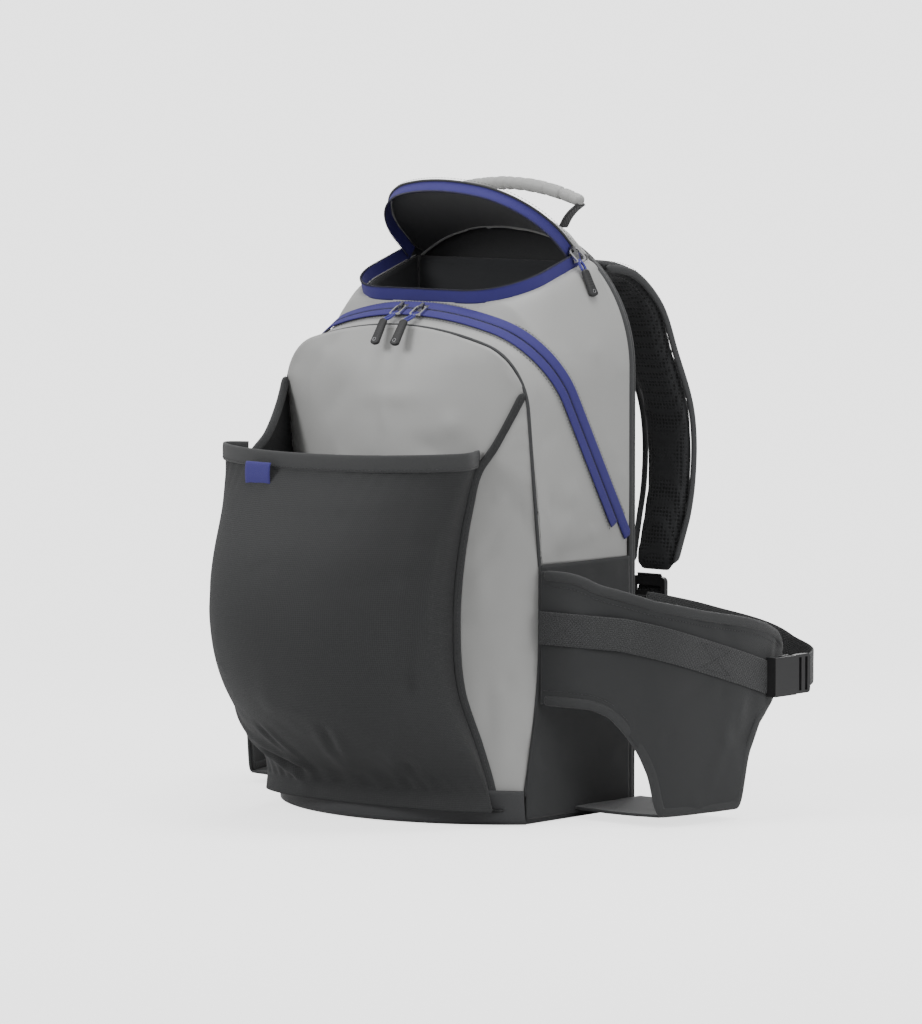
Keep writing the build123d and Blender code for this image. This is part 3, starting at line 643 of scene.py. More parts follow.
def zip_arch(out, foot, count):
    """Arch that the main zip runs on, moved outwards by `out` millimetres."""
    return arch_line(122.4 + out, 212.3 + out, 66.3 + out, 240.3 + out, foot, count)


front_run = zip_arch(0.0, 26.0, 281)
rear_run = zip_arch(0.0, 9.0, 281)
tape_front = tape("main_zip_tape_fore", front_run, ZIP_PLANE, -0.4, -8.6, twill)
tape_rear = tape("main_zip_tape_aft", rear_run, ZIP_PLANE, 0.4, 8.6, twill)
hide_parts("main_zip_tape_front")
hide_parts("main_zip_tape_rear")
coil_line = lean(zip_arch(-0.2, 26.0, 400), *ZIP_PLANE)
coil_at, coil_way, _ = along_line(coil_line, 1.5)
forward = np.array([0.0, -np.cos(np.radians(ZIP_PLANE[2])), -np.sin(np.radians(ZIP_PLANE[2]))])
radial = np.cross(forward, coil_way)
radial *= np.sign((radial * (coil_at - [0, 0, 250])).sum(1, keepdims=True))
coil_front = grains(
    "main_zip_coil_fore", coil_at + forward * 0.9 + radial * 0.55,
    np.broadcast_to(forward, coil_at.shape) + coil_way * 0.25, radial, (2.6, 1.0, 2.1), coil_look
)
coil_rear = grains(
    "main_zip_coil_aft", coil_at - forward * 0.9 + radial * 0.55 + coil_way * 0.75,
    np.broadcast_to(forward, coil_at.shape) - coil_way * 0.25, radial, (2.6, 1.0, 2.1), coil_look
)
edge_front, edge_rear = (
    lean(zip_arch(0.5, 24.0, 400), *ZIP_PLANE, back=back) for back in (-10.6, 10.6)
)
gusset_stitch = stitches("gusset_stitches", edge_front, PITCH, SEAM_STITCH, thread_look, centre=(0, 30, 250))
for piece in (front_panel, front_bead, door_gusset, tape_front, coil_front, gusset_stitch):
    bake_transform(piece)
for piece in (tape_rear, coil_rear):
    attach(piece, "root")


# ---- top ----------------------------------------------------------------------------------
# Shell fabric from the main zip back to the seam of the back panel, cut out for the goggle pocket and
# drawn up to its lip all round.
def off_mouth(x, y, inset=0.0):
    """Distance in plan from the outline of the goggle pocket's mouth, negative inside it: a box whose two
    front corners are rounded."""
    half, front, back, corner = 86.0 - inset, -51.0 + inset, 42.0 - inset, 45.0 - inset
    middle, reach = (front + back) / 2, (back - front) / 2
    bend = np.where(y < middle, corner, 2.0)
    dx, dy = np.abs(x) - (half - bend), np.abs(y - middle) - (reach - bend)
    return np.hypot(np.maximum(dx, 0), np.maximum(dy, 0)) + np.minimum(np.maximum(dx, dy), 0) - bend


def cut_out(points, name, material, thickness):
    """Surface of a grid without the quads inside the mouth; the points left beside it slide onto its line."""
    for _ in range(3):
        away = off_mouth(points[..., 0], points[..., 1])
        step = 0.05
        slope_x = (off_mouth(points[..., 0] + step, points[..., 1]) - away) / step
        slope_y = (off_mouth(points[..., 0], points[..., 1] + step) - away) / step
        near = (np.abs(away) < 1.3) & (points[..., 2] > 340)
        points[..., 0] -= np.where(near, away * slope_x, 0)
        points[..., 1] -= np.where(near, away * slope_y, 0)
    piece = surface(name, points, material)
    inside = (off_mouth(points[..., 0], points[..., 1]) < -0.05) & (points[..., 2] > 340)
    mesh = piece.data
    hidden = inside.ravel()
    corners = np.empty(len(mesh.polygons) * 4, int)
    mesh.polygons.foreach_get("vertices", corners)
    gone = hidden[corners.reshape(-1, 4)].any(axis=1)
    work = bmesh.new()
    work.from_mesh(mesh)
    work.faces.ensure_lookup_table()
    bmesh.ops.delete(work, geom=[work.faces[k] for k in np.flatnonzero(gone)], context="FACES")
    work.to_mesh(mesh)
    work.free()
    solid = piece.modifiers.new("fabric_thickness", "SOLIDIFY")
    solid.thickness, solid.offset = thickness * 0.001, -1.0
    return piece


def lip_height(y):
    """Height of the goggle pocket's lip, which rises to the back."""
    return 388.5 + 0.33 * (y + 51.0)


top_front = lean(arch_line(121.6, 211.4, 65.4, 239.4, 10.0, 361), *ZIP_PLANE, back=6.0)
top_back = lean(arch_line(123.4, 444.4, 104.4, 179.4, 212.5, 361), 45.9, 0.0, 0)
top_way = np.linspace(0, 1, 81)[None, :]
top_wide = np.linalg.norm(top_back - top_front, axis=1)[:, None]
top_hold = np.clip(top_wide * top_way / 12.0 - 0.5, 0, 1) * np.clip(top_wide * (1 - top_way) / 10.0, 0, 1)
top_points = crumple(lofted(top_front, top_back, 81), 34, 33, 1.5, 40, 11, hold=top_hold)
away = off_mouth(top_points[..., 0], top_points[..., 1])
lifted = (
    bell(np.maximum(away, 0), 15.0) * (top_points[..., 2] > 350) * np.clip(top_wide * top_way / 4.0 - 0.5, 0, 1)
)
lift_by = np.maximum(lip_height(top_points[..., 1]) + 0.6 - top_points[..., 2], 0) * (top_points[..., 1] < 40)
top_points[..., 2] += lifted * lift_by
top_panel = cut_out(top_points, "top_panel_fabric", shell_look, 1.6)
put(top_panel, "shell_fabric", "root", "rear_gusset")
top_stitch = stitches("top_panel_stitches", edge_rear, PITCH, SEAM_STITCH, thread_look, centre=(0, 30, 250))
put(top_stitch, "shell_fabric", "root")

# ---- goggle pocket ------------------------------------------------------------------------
# Fleece-lined box under the top, a standing zip tape round its mouth, and a hood-shaped flap of shell
# fabric, hinged along the back, that carries the other half of the zip.
lining_look = woven(
    "black_fleece_lining", (0.020, 0.021, 0.023), thread=0.8, relief=0.6, rough=0.95, sheen=0.35, nap=0.8
)


def mouth_line(inset, count, closed=True):
    """Plan line of the mouth from its back left corner round the front to its back right one."""
    corner = 45.0 - inset
    bend = np.linspace(0, np.pi / 2, 30)
    x = np.concatenate([[86.0 - inset], 41.0 + corner * np.cos(bend)])
    y = np.concatenate([[42.0 - inset if closed else 34.0], -6.0 - corner * np.sin(bend)])
    x, y = np.concatenate([-x, x[::-1]]), np.concatenate([y, y[::-1]])
    length = np.concatenate([[0], np.cumsum(np.hypot(np.diff(x), np.diff(y)))])
    even = np.linspace(0, length[-1], count)
    return np.interp(even, length, x), np.interp(even, length, y)


in_x, in_y = mouth_line(3.0, 121)
in_x, in_y = np.append(in_x, np.linspace(in_x[-1], in_x[0], 40)[1:]), np.append(in_y, np.full(39, in_y[-1]))
depth = np.linspace(0, 1, 15)[None, :]
lining_top = lip_height(in_y)[:, None] - 0.5
side_z = 340.0 + (lining_top - 340.0) * depth
lining_side = xyz(
    in_x[:, None] * (0.975 + 0.025 * depth), (in_y[:, None] - 2) * (0.975 + 0.025 * depth) + 2, side_z
)
floor_in = np.linspace(0.02, 0.975, 9)[None, :]
lining_floor = xyz(in_x[:, None] * floor_in, (in_y[:, None] - 2) * floor_in + 2, 339.4 + 0.6 * floor_in**8)
goggle_lining = surface(
    "goggle_pocket_lining", np.concatenate([lining_floor, lining_side], axis=1)[::-1], lining_look, thickness=1.4,
    offset=0.0
)
put(goggle_lining, "lining", "root", "goggle_lining")

lip_x, lip_y = mouth_line(0.4, 181, closed=False)
up = np.linspace(0, 1, 8)[None, :]
lip_lean = np.arctan(0.33)
tape_up = 10.0 * up
lip_points = xyz(
    lip_x[:, None], lip_y[:, None] - np.sin(lip_lean) * tape_up,
    lip_height(lip_y)[:, None] + np.cos(lip_lean) * tape_up - 0.3
)
put(
    surface("goggle_zip_tape_lip", lip_points, twill, thickness=1.0, offset=0.0), "blue_tape", "root",
    "goggle_zip_tape_front"
)
tooth_at, tooth_way, _ = along_line(lip_points[:, -1], 1.5)
lip_up = np.array([0, -np.sin(lip_lean), np.cos(lip_lean)])
put(
    grains(
        "goggle_zip_coil_lip", tooth_at + lip_up * 0.1, np.broadcast_to(lip_up, tooth_at.shape) + tooth_way * 0.2,
        np.cross(lip_up, tooth_way), (2.4, 0.95, 1.9), coil_look
    ),
    "blue_tape", "root"
)

def back_seam(half, drop, y, count):
    """Rear line of the flap: the top of the back panel's outline between -half and half, dropped a little."""
    whole = arch_line(123.6, 444.8, 104.6, 179.6, 300.0, 2001)
    part = whole[np.abs(whole[:, 0]) <= half]
    even = np.linspace(0, len(part) - 1, count)
    return xyz(
        np.interp(even, np.arange(len(part)), part[:, 0]), y,
        np.interp(even, np.arange(len(part)), part[:, 1]) - drop
    )


def hood_arch(out, foot, count):
    """Arch of the flap's front edge, moved outwards by `out` millimetres."""
    return arch_line(82.4 + out, 85.0 + out, 62.0 + out, 140.0 + out, foot, count)


flap_rear = back_seam(83.0, 0.0, 44.6, 221)
flap_front = lean(hood_arch(0.0, 0.0, 221), *HOOD_PLANE)
flap_points = crumple(lofted(flap_rear, flap_front, 41, swell=3.0), 14, 41, 0.7, 30, 9)
goggle_flap = surface("goggle_flap_shell", flap_points[::-1], shell_look, thickness=1.0)
under_rear = back_seam(81.0, 2.6, 44.2, 221)
under_front = lean(arch_line(80.6, 83.0, 60.2, 138.2, 0.4, 221), *HOOD_PLANE)
flap_lining = surface(
    "goggle_flap_lining", lofted(under_rear, under_front, 31, swell=1.6), lining_look, thickness=0.5, offset=0.0
)
put(goggle_flap, "shell_fabric", None, "goggle_flap")
flap_tape = tape("goggle_zip_tape_hood", hood_arch(-0.6, 0.0, 221), HOOD_PLANE, -10.0, -0.2, twill, lift=0.2)
put(flap_tape, "blue_tape", None, "goggle_zip_tape_flap")
hood_edge = lean(hood_arch(-0.6, 2.0, 300), *HOOD_PLANE, back=-10.0)
tooth_at, tooth_way, _ = along_line(hood_edge, 1.5)
hood_way = np.array([0, -np.cos(np.radians(HOOD_PLANE[2])), -np.sin(np.radians(HOOD_PLANE[2]))])
hood_coil = grains(
    "goggle_zip_coil_hood", tooth_at, np.broadcast_to(hood_way, tooth_at.shape) + tooth_way * 0.2,
    np.cross(hood_way, tooth_way), (2.4, 0.95, 1.9), coil_look
)
seam_line = lean(hood_arch(0.6, 1.0, 300), *HOOD_PLANE, back=2.2)
hood_stitch = stitches("goggle_flap_stitches", seam_line, PITCH, SEAM_STITCH, thread_look, centre=(0, 10, 430))
for side, name in ((-1, "left"), (1, "right")):
    web_front = xyz(side * 85.6, 34.2 - 0.3 * np.linspace(0, 10, 9), np.linspace(412.0, 424.0, 9))
    web_back = xyz(side * 82.0, 45.0, np.linspace(410.0, 423.5, 9))
    put(
        surface(
            f"goggle_pocket_corner_{name}", lofted(web_front, web_back, 9, swell=1.0), lining_look, thickness=0.9,
            offset=0.0
        ),
        "lining", "root"
    )
hood_rim = lean(hood_arch(0.8, 1.0, 300), *HOOD_PLANE, back=-0.4)
hood_bead = swept("goggle_flap_edge_piping", hood_rim, piping_look, 1.8, 1.8, (0, 1, 0), sides=8)
for piece in (goggle_flap, flap_lining, flap_tape, hood_coil, hood_stitch, hood_bead):
    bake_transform(piece)

# ---- sliders and pulls --------------------------------------------------------------------
# Die-cast sliders with a bridge, a plated wire ring on each, and a blue cord loop that ends in a
# moulded rubber grip. The main zip has two; the goggle zip has one, at its right end.
def hard(name, colour, metal, rough, grain=0.0, wear=0.15):
    """Moulded or cast finish: colour worn a little lighter in broad patches, with a fine grain in its relief."""
    look, tree, shader = new_look(name)
    place = new_node(tree, "TexCoord", {}).outputs["Object"]
    worn = new_node(tree, "TexNoise", {"Scale": 160.0, "Detail": 8.0, "Vector": place}).outputs["Fac"]
    fine = new_node(tree, "TexNoise", {"Scale": 2600.0, "Vector": place}).outputs["Fac"]
    bump = new_node(tree, "Bump", {"Strength": 0.25 + grain, "Distance": 0.00008, "Height": fine})
    feed(tree, shader, {
        "Metallic": metal,
        "Base Color": mottled(tree, worn, colour, wear),
        "Roughness": ramp(tree, worn, rough - 0.1, rough + 0.1),
        "Normal": bump.outputs["Normal"],
    })
    return look


gunmetal = hard("gunmetal_plating", (0.30, 0.30, 0.31), 1.0, 0.34)
plated = hard("bright_plating", (0.80, 0.80, 0.81), 1.0, 0.2)
rubber = hard("black_rubber", (0.020, 0.020, 0.021), 0.0, 0.55, grain=0.2)
cord_look = woven("blue_pull_cord", (0.030, 0.028, 0.26), thread=0.5, relief=0.6, rough=0.6, sheen=0.2)
dress(gunmetal, "slider_left", "slider_right", "slider_goggle")
dress(plated, "pull_ring_left", "pull_ring_right", "pull_ring_goggle")


def zip_pull(name, body, pivot, bar, ring_way, grip_start, grip_way):
    """Cord loop and grip of one pull. The two strands leave the ring side by side, bow apart and go into the
    grip's end; the grip is a flat lozenge, waisted a little, ribbed at its middle and rounded at both ends."""
    t = np.linspace(0, 1, 25)[:, None]
    start = pivot + ring_way * 11.3
    end = grip_start + grip_way * 1.5
    for strand, away in (("a", 1), ("b", -1)):
        line = (
            start + (end - start) * t + bar * away * (1.05 + 0.9 * np.sin(np.pi * t)) + ring_way * 0.6
            * np.sin(np.pi * t)
        )
        cord = swept(f"pull_cord_{name}_{strand}", line, cord_look, 2.1, 2.1, bar, sides=10)
        put(cord, "pull_cord", body, "pull_cord_" + name)
    bow = np.linspace(-1, 1, 15)[:, None]
    eye = start + ring_way * 0.2 + bar * bow * 1.15 + ring_way * -1.5 * np.sqrt(1 - bow**2)
    put(
        swept(f"pull_cord_{name}_eye", eye, cord_look, 2.1, 2.1, np.cross(ring_way, bar), sides=10), "pull_cord",
        body
    )
    s = np.linspace(0, 1, 61)
    body_line = grip_start + grip_way * (0.2 + 22.4 * s[:, None])
    rounding = np.sqrt(np.clip(1 - (np.maximum(np.abs(2 * s - 1) - 0.80, 0) / 0.2) ** 2, 0.02, 1))
    ribs = 0.22 * np.sin(s * 2 * np.pi * 11) * np.exp(-(((s - 0.5) / 0.26) ** 4))
    wide = (7.0 + 1.5 * s**2) * rounding
    high = (3.7 + ribs) * (0.35 + 0.65 * rounding)
    grip = swept(f"pull_grip_{name}_moulding", body_line, rubber, wide, high, bar, power=3.2, sides=20)
    put(grip, "grip_rubber", body, "pull_grip_" + name)
    across_grip = np.cross(grip_way, bar)
    eyelet_at = grip_start + grip_way * 19.0
    ring_turn = np.linspace(0, 2 * np.pi, 25)[:, None]
    rim = eyelet_at + 1.35 * (bar * np.cos(ring_turn) + grip_way * np.sin(ring_turn))
    for face in (1, -1):
        put(
            swept(
                f"pull_grip_{name}_eyelet_{'over' if face > 0 else 'under'}", rim + across_grip * face * 1.75,
                gunmetal, 0.7, 0.5, across_grip, sides=8
            ),
            "grip_rubber", body
        )


zip_up = np.array([0.0, -np.sin(np.radians(ZIP_PLANE[2])), np.cos(np.radians(ZIP_PLANE[2]))])
crown_centre = np.array([0.0, 45.0, 200.0]) + zip_up * (212.0 - 240.0)
for side, name in ((-1, "left"), (1, "right")):
    turned = side * 10.0 / 240.0
    outwards = zip_up * np.cos(turned) + np.array([1.0, 0, 0]) * np.sin(turned)
    bar = np.array([1.0, 0, 0]) * np.cos(turned) - zip_up * np.sin(turned)
    pivot = crown_centre + outwards * 243.1
    fall = forward * 0.9 - outwards * 0.45
    zip_pull(
        name, "pull_" + name, pivot, bar, forward, pivot + forward * 22.0 + outwards * 3.0,
        fall / np.linalg.norm(fall)
    )
track = np.array([86.0 - 0.6, 28.0, 388.5 + 0.33 * 79.0])
goggle_pivot = track + lip_up * 13.9
lip_forward = np.array([0.0, -np.cos(lip_lean), -np.sin(lip_lean)])
drop = np.array([0.45, 0.0, -0.893])
zip_pull(
    "goggle", "pull_goggle", goggle_pivot, lip_forward, np.array([0.62, 0.0, -0.7846]),
    goggle_pivot + np.array([11.5, 0, -14.5]), drop / np.linalg.norm(drop)
)

# ---- helmet pocket ------------------------------------------------------------------------
# Two-way stretch mesh, gathered into the base seam, bulging as if a helmet filled it, bound down both
# sides with folded elastic and finished along its mouth with a wide soft hem.
knit = open_mesh(
    "black_stretch_mesh", (0.026, 0.027, 0.028), pitch=1.5, hole=0.42, rough=0.8, relief=0.45, depth=0.62
)
hem_look = woven("charcoal_hem_elastic", (0.034, 0.035, 0.036), thread=0.9, relief=0.35, rough=0.7, sheen=0.15)


pocket_rows = np.array([
    (
        12, 104.5, -107, -131.6
    ), (26, 102.5, -105, -132.2), (34, 100, -103, -138), (60, 91.5, -99, -172), (100, 77.5, -96, -212),
    (150, 72, -96, -229), (200, 73.5, -97, -219), (240, 79, -99, -194), (
        268, 85.5, -101, -174
    ), (281, 90, -101.6, -167),
], float)


def panel_face(x, z):
    """Y of the front panel's face under a point of the pocket's edge."""
    side = run(z, (24, 100, 195, 300, 345), (-74.8, -60.6, -57.6, -70.0, -75.0))
    return curved_front(x, side, run(z, (24, 100, 195, 300, 345), (-126.0, -118.4, -111.4, -100.6, -91.4)), 121.4)


height_at = np.linspace(12, 271, 156)
section = through(height_at, pocket_rows[:, 0], pocket_rows)
middle, reach = (section[:, 1] + section[:, 2]) / 2, (section[:, 1] - section[:, 2]) / 2
right_y = panel_face(section[:, 1], height_at) - 1.6
left_y = (
    panel_face(section[:, 2], height_at) - 1.6
    - run(height_at, (12, 90, 150, 200, 240, 268, 281), (0, 0, 14, 32, 46, 56, 60))
)
dip = np.maximum(right_y - section[:, 3], 0)
bulge = reach + 12.0 * np.minimum(1.0, dip / 75.0)
knots_x = np.stack(
    [
        section[:, 1], middle + bulge, middle + 0.55 * bulge, middle - 6, middle - 0.65 * bulge, middle - bulge,
        section[:, 2]
    ]
)
knots_y = (
    section[:, 3] + np.stack([right_y - section[:, 3]] * 4 + [left_y - section[:, 3]] * 3)
    * (1 - np.array([0, 0.42, 0.88, 1.0, 0.86, 0.38, 0])[:, None])
)
knot_way = np.array([0, 0.17, 0.36, 0.51, 0.67, 0.84, 1.0])
way_round = np.linspace(0, 1, 190)
mesh_xy = through(way_round, knot_way, xyz(knots_x, knots_y))
mesh_points = (
    np.concatenate([mesh_xy, np.broadcast_to(height_at, mesh_xy.shape[:2])[..., None]], -1).transpose(1, 0, 2)
)


def crease(points, start, end, depth, width):
    """Pushes a sharp valley with a low roll each side of it into a surface, along the line from start to end."""
    start, end = np.array(start, float), np.array(end, float)
    line = end - start
    off = points - start
    t = np.clip((off @ line) / (line @ line), -0.1, 1.1)
    gap = np.linalg.norm(off - t[..., None] * line, axis=-1)
    fade = np.exp(-((np.abs(t - 0.5) / 0.5) ** 6))
    normal = normals(points)
    outward = np.sign((normal * (points - [-8, -100, 150])).sum(2, keepdims=True).mean())
    shape = -bell(gap, width) + 0.55 * bell(gap - 2.4 * width, 1.3 * width)
    return points + normal * outward * (depth * shape * fade)[..., None]


for start, end, depth, width in (
    ((-107, -148, 84), (-44, -139, 26), 5.6, 4.6),
    ((93, -150, 232), (84, -166, 118), 2.6, 5.0),
    ((84, -166, 120), (62, -140, 40), 2.4, 5.0),
    ((-52, -182, 70), (-40, -150, 34), 2.6, 3.0),
    ((20, -190, 76), (6, -150, 32), 2.0, 3.6),
    ((-100, -140, 255), (-106, -150, 170), 1.6, 5.0),
):
    mesh_points = crease(mesh_points, start, end, depth, width)
mesh_points = crumple(mesh_points, 34, 71, 0.7, 60, 10)
gathers = (
    np.exp(-np.maximum(mesh_points[..., 2] - 26, 0) / 15.0) * (mesh_points[..., 2] > 26) + 0.55
    * np.exp(-(271 - mesh_points[..., 2]) / 14.0)
)
mesh_points[..., 1] -= 0.7 * gathers * np.sin(way_round * 2 * np.pi * 23 + 2 * np.sin(way_round * 19))[None]
tuck = mesh_points[:1].copy()
tuck[..., 1] = np.maximum(curved_front(tuck[..., 0], -77.2, -128.6, 123.4) + 0.4, tuck[..., 1])
mesh_points = np.concatenate([tuck, mesh_points])
helmet_mesh = surface("helmet_pocket_stretch_mesh", mesh_points, knit, thickness=0.9)
put(helmet_mesh, "stretch_mesh", None, "pocket_mesh")

hem_row = int(np.argmin(np.abs(height_at - 270)))
hem_knots = xyz(knots_x[:, hem_row], knots_y[:, hem_row])
hem_xy = through(np.linspace(0, 1, 190), knot_way, hem_knots * (1.006, 1.003))
hem_t = np.linspace(0, 1, 190)
hem_line = xyz(hem_xy[:, 0], hem_xy[:, 1], 274.9 + 0.8 * np.sin(hem_t * 9.0) - 1.2 * np.sin(np.pi * hem_t))
hem = swept("helmet_pocket_hem_band", hem_line, hem_look, 13.4, 3.0, (0, 0, 1), power=3.5, sides=18)
put(hem, "elastic_binding", None, "pocket_hem")
hem_out_way = np.cross(np.gradient(hem_line, axis=0), (0, 0, 1.0))
hem_out_way /= np.linalg.norm(hem_out_way, axis=1, keepdims=True)
hem_out_way *= np.sign((hem_out_way * (hem_line - [-8, -60, 0])).sum(1).mean())
hem_row_line = hem_line + hem_out_way * 1.5 - [0, 0, 4.6]
hem_stitch = stitches(
    "helmet_pocket_hem_stitches", hem_row_line, 3.0, (2.1, 0.5, 0.5), black_thread, centre=(-8, -60, 270)
)

binding_look = woven("elastic_fold_binding", (0.027, 0.028, 0.029), thread=0.7, relief=0.5, rough=0.72, sheen=0.15)
binding_pieces = []
edge_z = np.array([16, 34, 60, 100, 150, 200, 240, 264], float)
for side, name in ((1, "right"), (-1, "left")):
    edge_x = run(edge_z, pocket_rows[:, 0], pocket_rows[:, 1 if side > 0 else 2]) + side * 2.2
    edge_y = run(edge_z, height_at, right_y if side > 0 else left_y) - 0.4
    if side > 0:
        above = [
            (99.0, panel_face(99.0, 286.0) - 1.6, 286.0), (109.0, panel_face(109.0, 305.0) - 1.5, 305.0),
            (119.2, -74.6, 325.0)
        ]
    else:
        above = [(-104.5, -112.0, 286.0), (-112.0, -90.0, 308.0), (-119.2, -74.6, 327.0)]
    route = np.concatenate([xyz(edge_x, edge_y, edge_z), above])
    knots = lengths(route)
    path = through(np.linspace(0, knots[-1], 160), knots, route)
    face = np.array([side * 0.83, -0.55, 0]) if side > 0 else np.array([-0.9, 0.1, 0.2])
    lie = np.cross(face, (0, 0, 1.0))
    binding = swept(
        "helmet_pocket_binding_" + name, path, binding_look, 6.8, 3.2, lie, power=2.6, sides=14, taper=6.0
    )
    put(binding, "elastic_binding", None, "pocket_binding_" + name)
    label = f"helmet_pocket_binding_{name}_stitches"
    binding_stitch = stitches(label, path + face * 1.65, 3.0, (2.1, 0.55, 0.45), black_thread, up=face)
    binding_pieces += [binding, binding_stitch]
    if side < 0:
        wall_back = xyz(
            -119.4, run(path[:, 2], (24, 100, 195, 300, 345), (-75.2, -61.0, -58.0, -70.4, -75.4)), path[:, 2]
        )
        pocket_wall = surface(
            "helmet_pocket_side_mesh", lofted(path, wall_back, 25, swell=2.0), knit, thickness=0.8, offset=0.0
        )
        binding_pieces.append(pocket_wall)

tab_t = np.linspace(0, 1, 33)[:, None]
tab_row = int(np.argmin(np.abs(height_at - 262)))
tab_column = int(np.argmin(np.abs(mesh_points[tab_row, 95:150, 0] + 52))) + 95
tab_way = mesh_points[tab_row, tab_column + 6] - mesh_points[tab_row, tab_column - 6]
tab_way /= -np.linalg.norm(tab_way)
tab_loop = (
    mesh_points[tab_row, tab_column] + np.array([-0.6, -2.2, 1.0])
    + np.concatenate([0 * tab_t, -1.9 * np.sin(np.pi * tab_t) ** 0.7 + 0.5, 8.6 * np.cos(np.pi * tab_t)], axis=1)
)
tab_loop = np.concatenate([tab_loop, (tab_loop + [0, 1.2, 0])[::-1]])
tab_across = np.linspace(-14, 14, 13)[None, :, None] * tab_way
tab_grid = tab_loop[:, None] + tab_across
pocket_tab = surface("helmet_pocket_loop_label", tab_grid[:33], twill, thickness=0.8, offset=0.0)
put(pocket_tab, "blue_tape", None, "pocket_tab")
for piece in [helmet_mesh, hem, hem_stitch, pocket_tab] + binding_pieces:
    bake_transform(piece)

# ---- boot sleeves -------------------------------------------------------------------------
# Laminated neoprene-like slings, one each side: sewn into the side seam, passing round the boot's shaft
# and under its sole, edged with folded binding and held shut by webbing and a side-release buckle.
neoprene = woven(
    "black_laminated_neoprene", (0.021, 0.022, 0.023), thread=0.5, relief=0.25, rough=0.78, sheen=0.2, nap=0.5
)
web_look = woven(
    "black_webbing", (0.026, 0.027, 0.028), thread=1.5, relief=0.75, rough=0.62, sheen=0.15, mottle=0.14
)
plastic = hard("black_buckle_plastic", (0.022, 0.022, 0.023), 0.0, 0.38)
sleeve_plan = np.array(
    [(126.5, -61.0), (165.0, -57.0), (200.0, -28.0), (215.0, 30.0), (216.0, 90.0), (205.0, 128.0)]
)
plan_way = lengths(sleeve_plan)
upper_edge = np.array(
    [(-61.5, 191), (-54, 182.5), (-25, 170), (20, 160), (66, 152), (92, 146), (118, 137), (129, 126)], float
)
lower_edge = np.array(
    [
        (-61.5, 91), (-56, 90), (-48, 84), (-40, 71), (-32, 56), (-24, 34), (-20, 8.5), (58, 8.5), (67, 46),
        (82, 70), (112, 92), (129, 125)
    ],
    float
)


def sleeve_line(offset, count, last=1.0):
    """Plan line of the sleeve, pushed outwards by offset."""
    fine = through(np.linspace(0, plan_way[-1] * last, count), plan_way, sleeve_plan)
    way = np.gradient(fine, axis=0)
    way /= np.linalg.norm(way, axis=1, keepdims=True)
    return fine + xyz(way[:, 1], -way[:, 0]) * offset


def eased(values, width):
    """Running mean that rounds the corners of an edge off."""
    padded = np.concatenate([np.full(width, values[0]), values, np.full(width, values[-1])])
    return np.convolve(padded, np.ones(2 * width + 1) / (2 * width + 1), "valid")


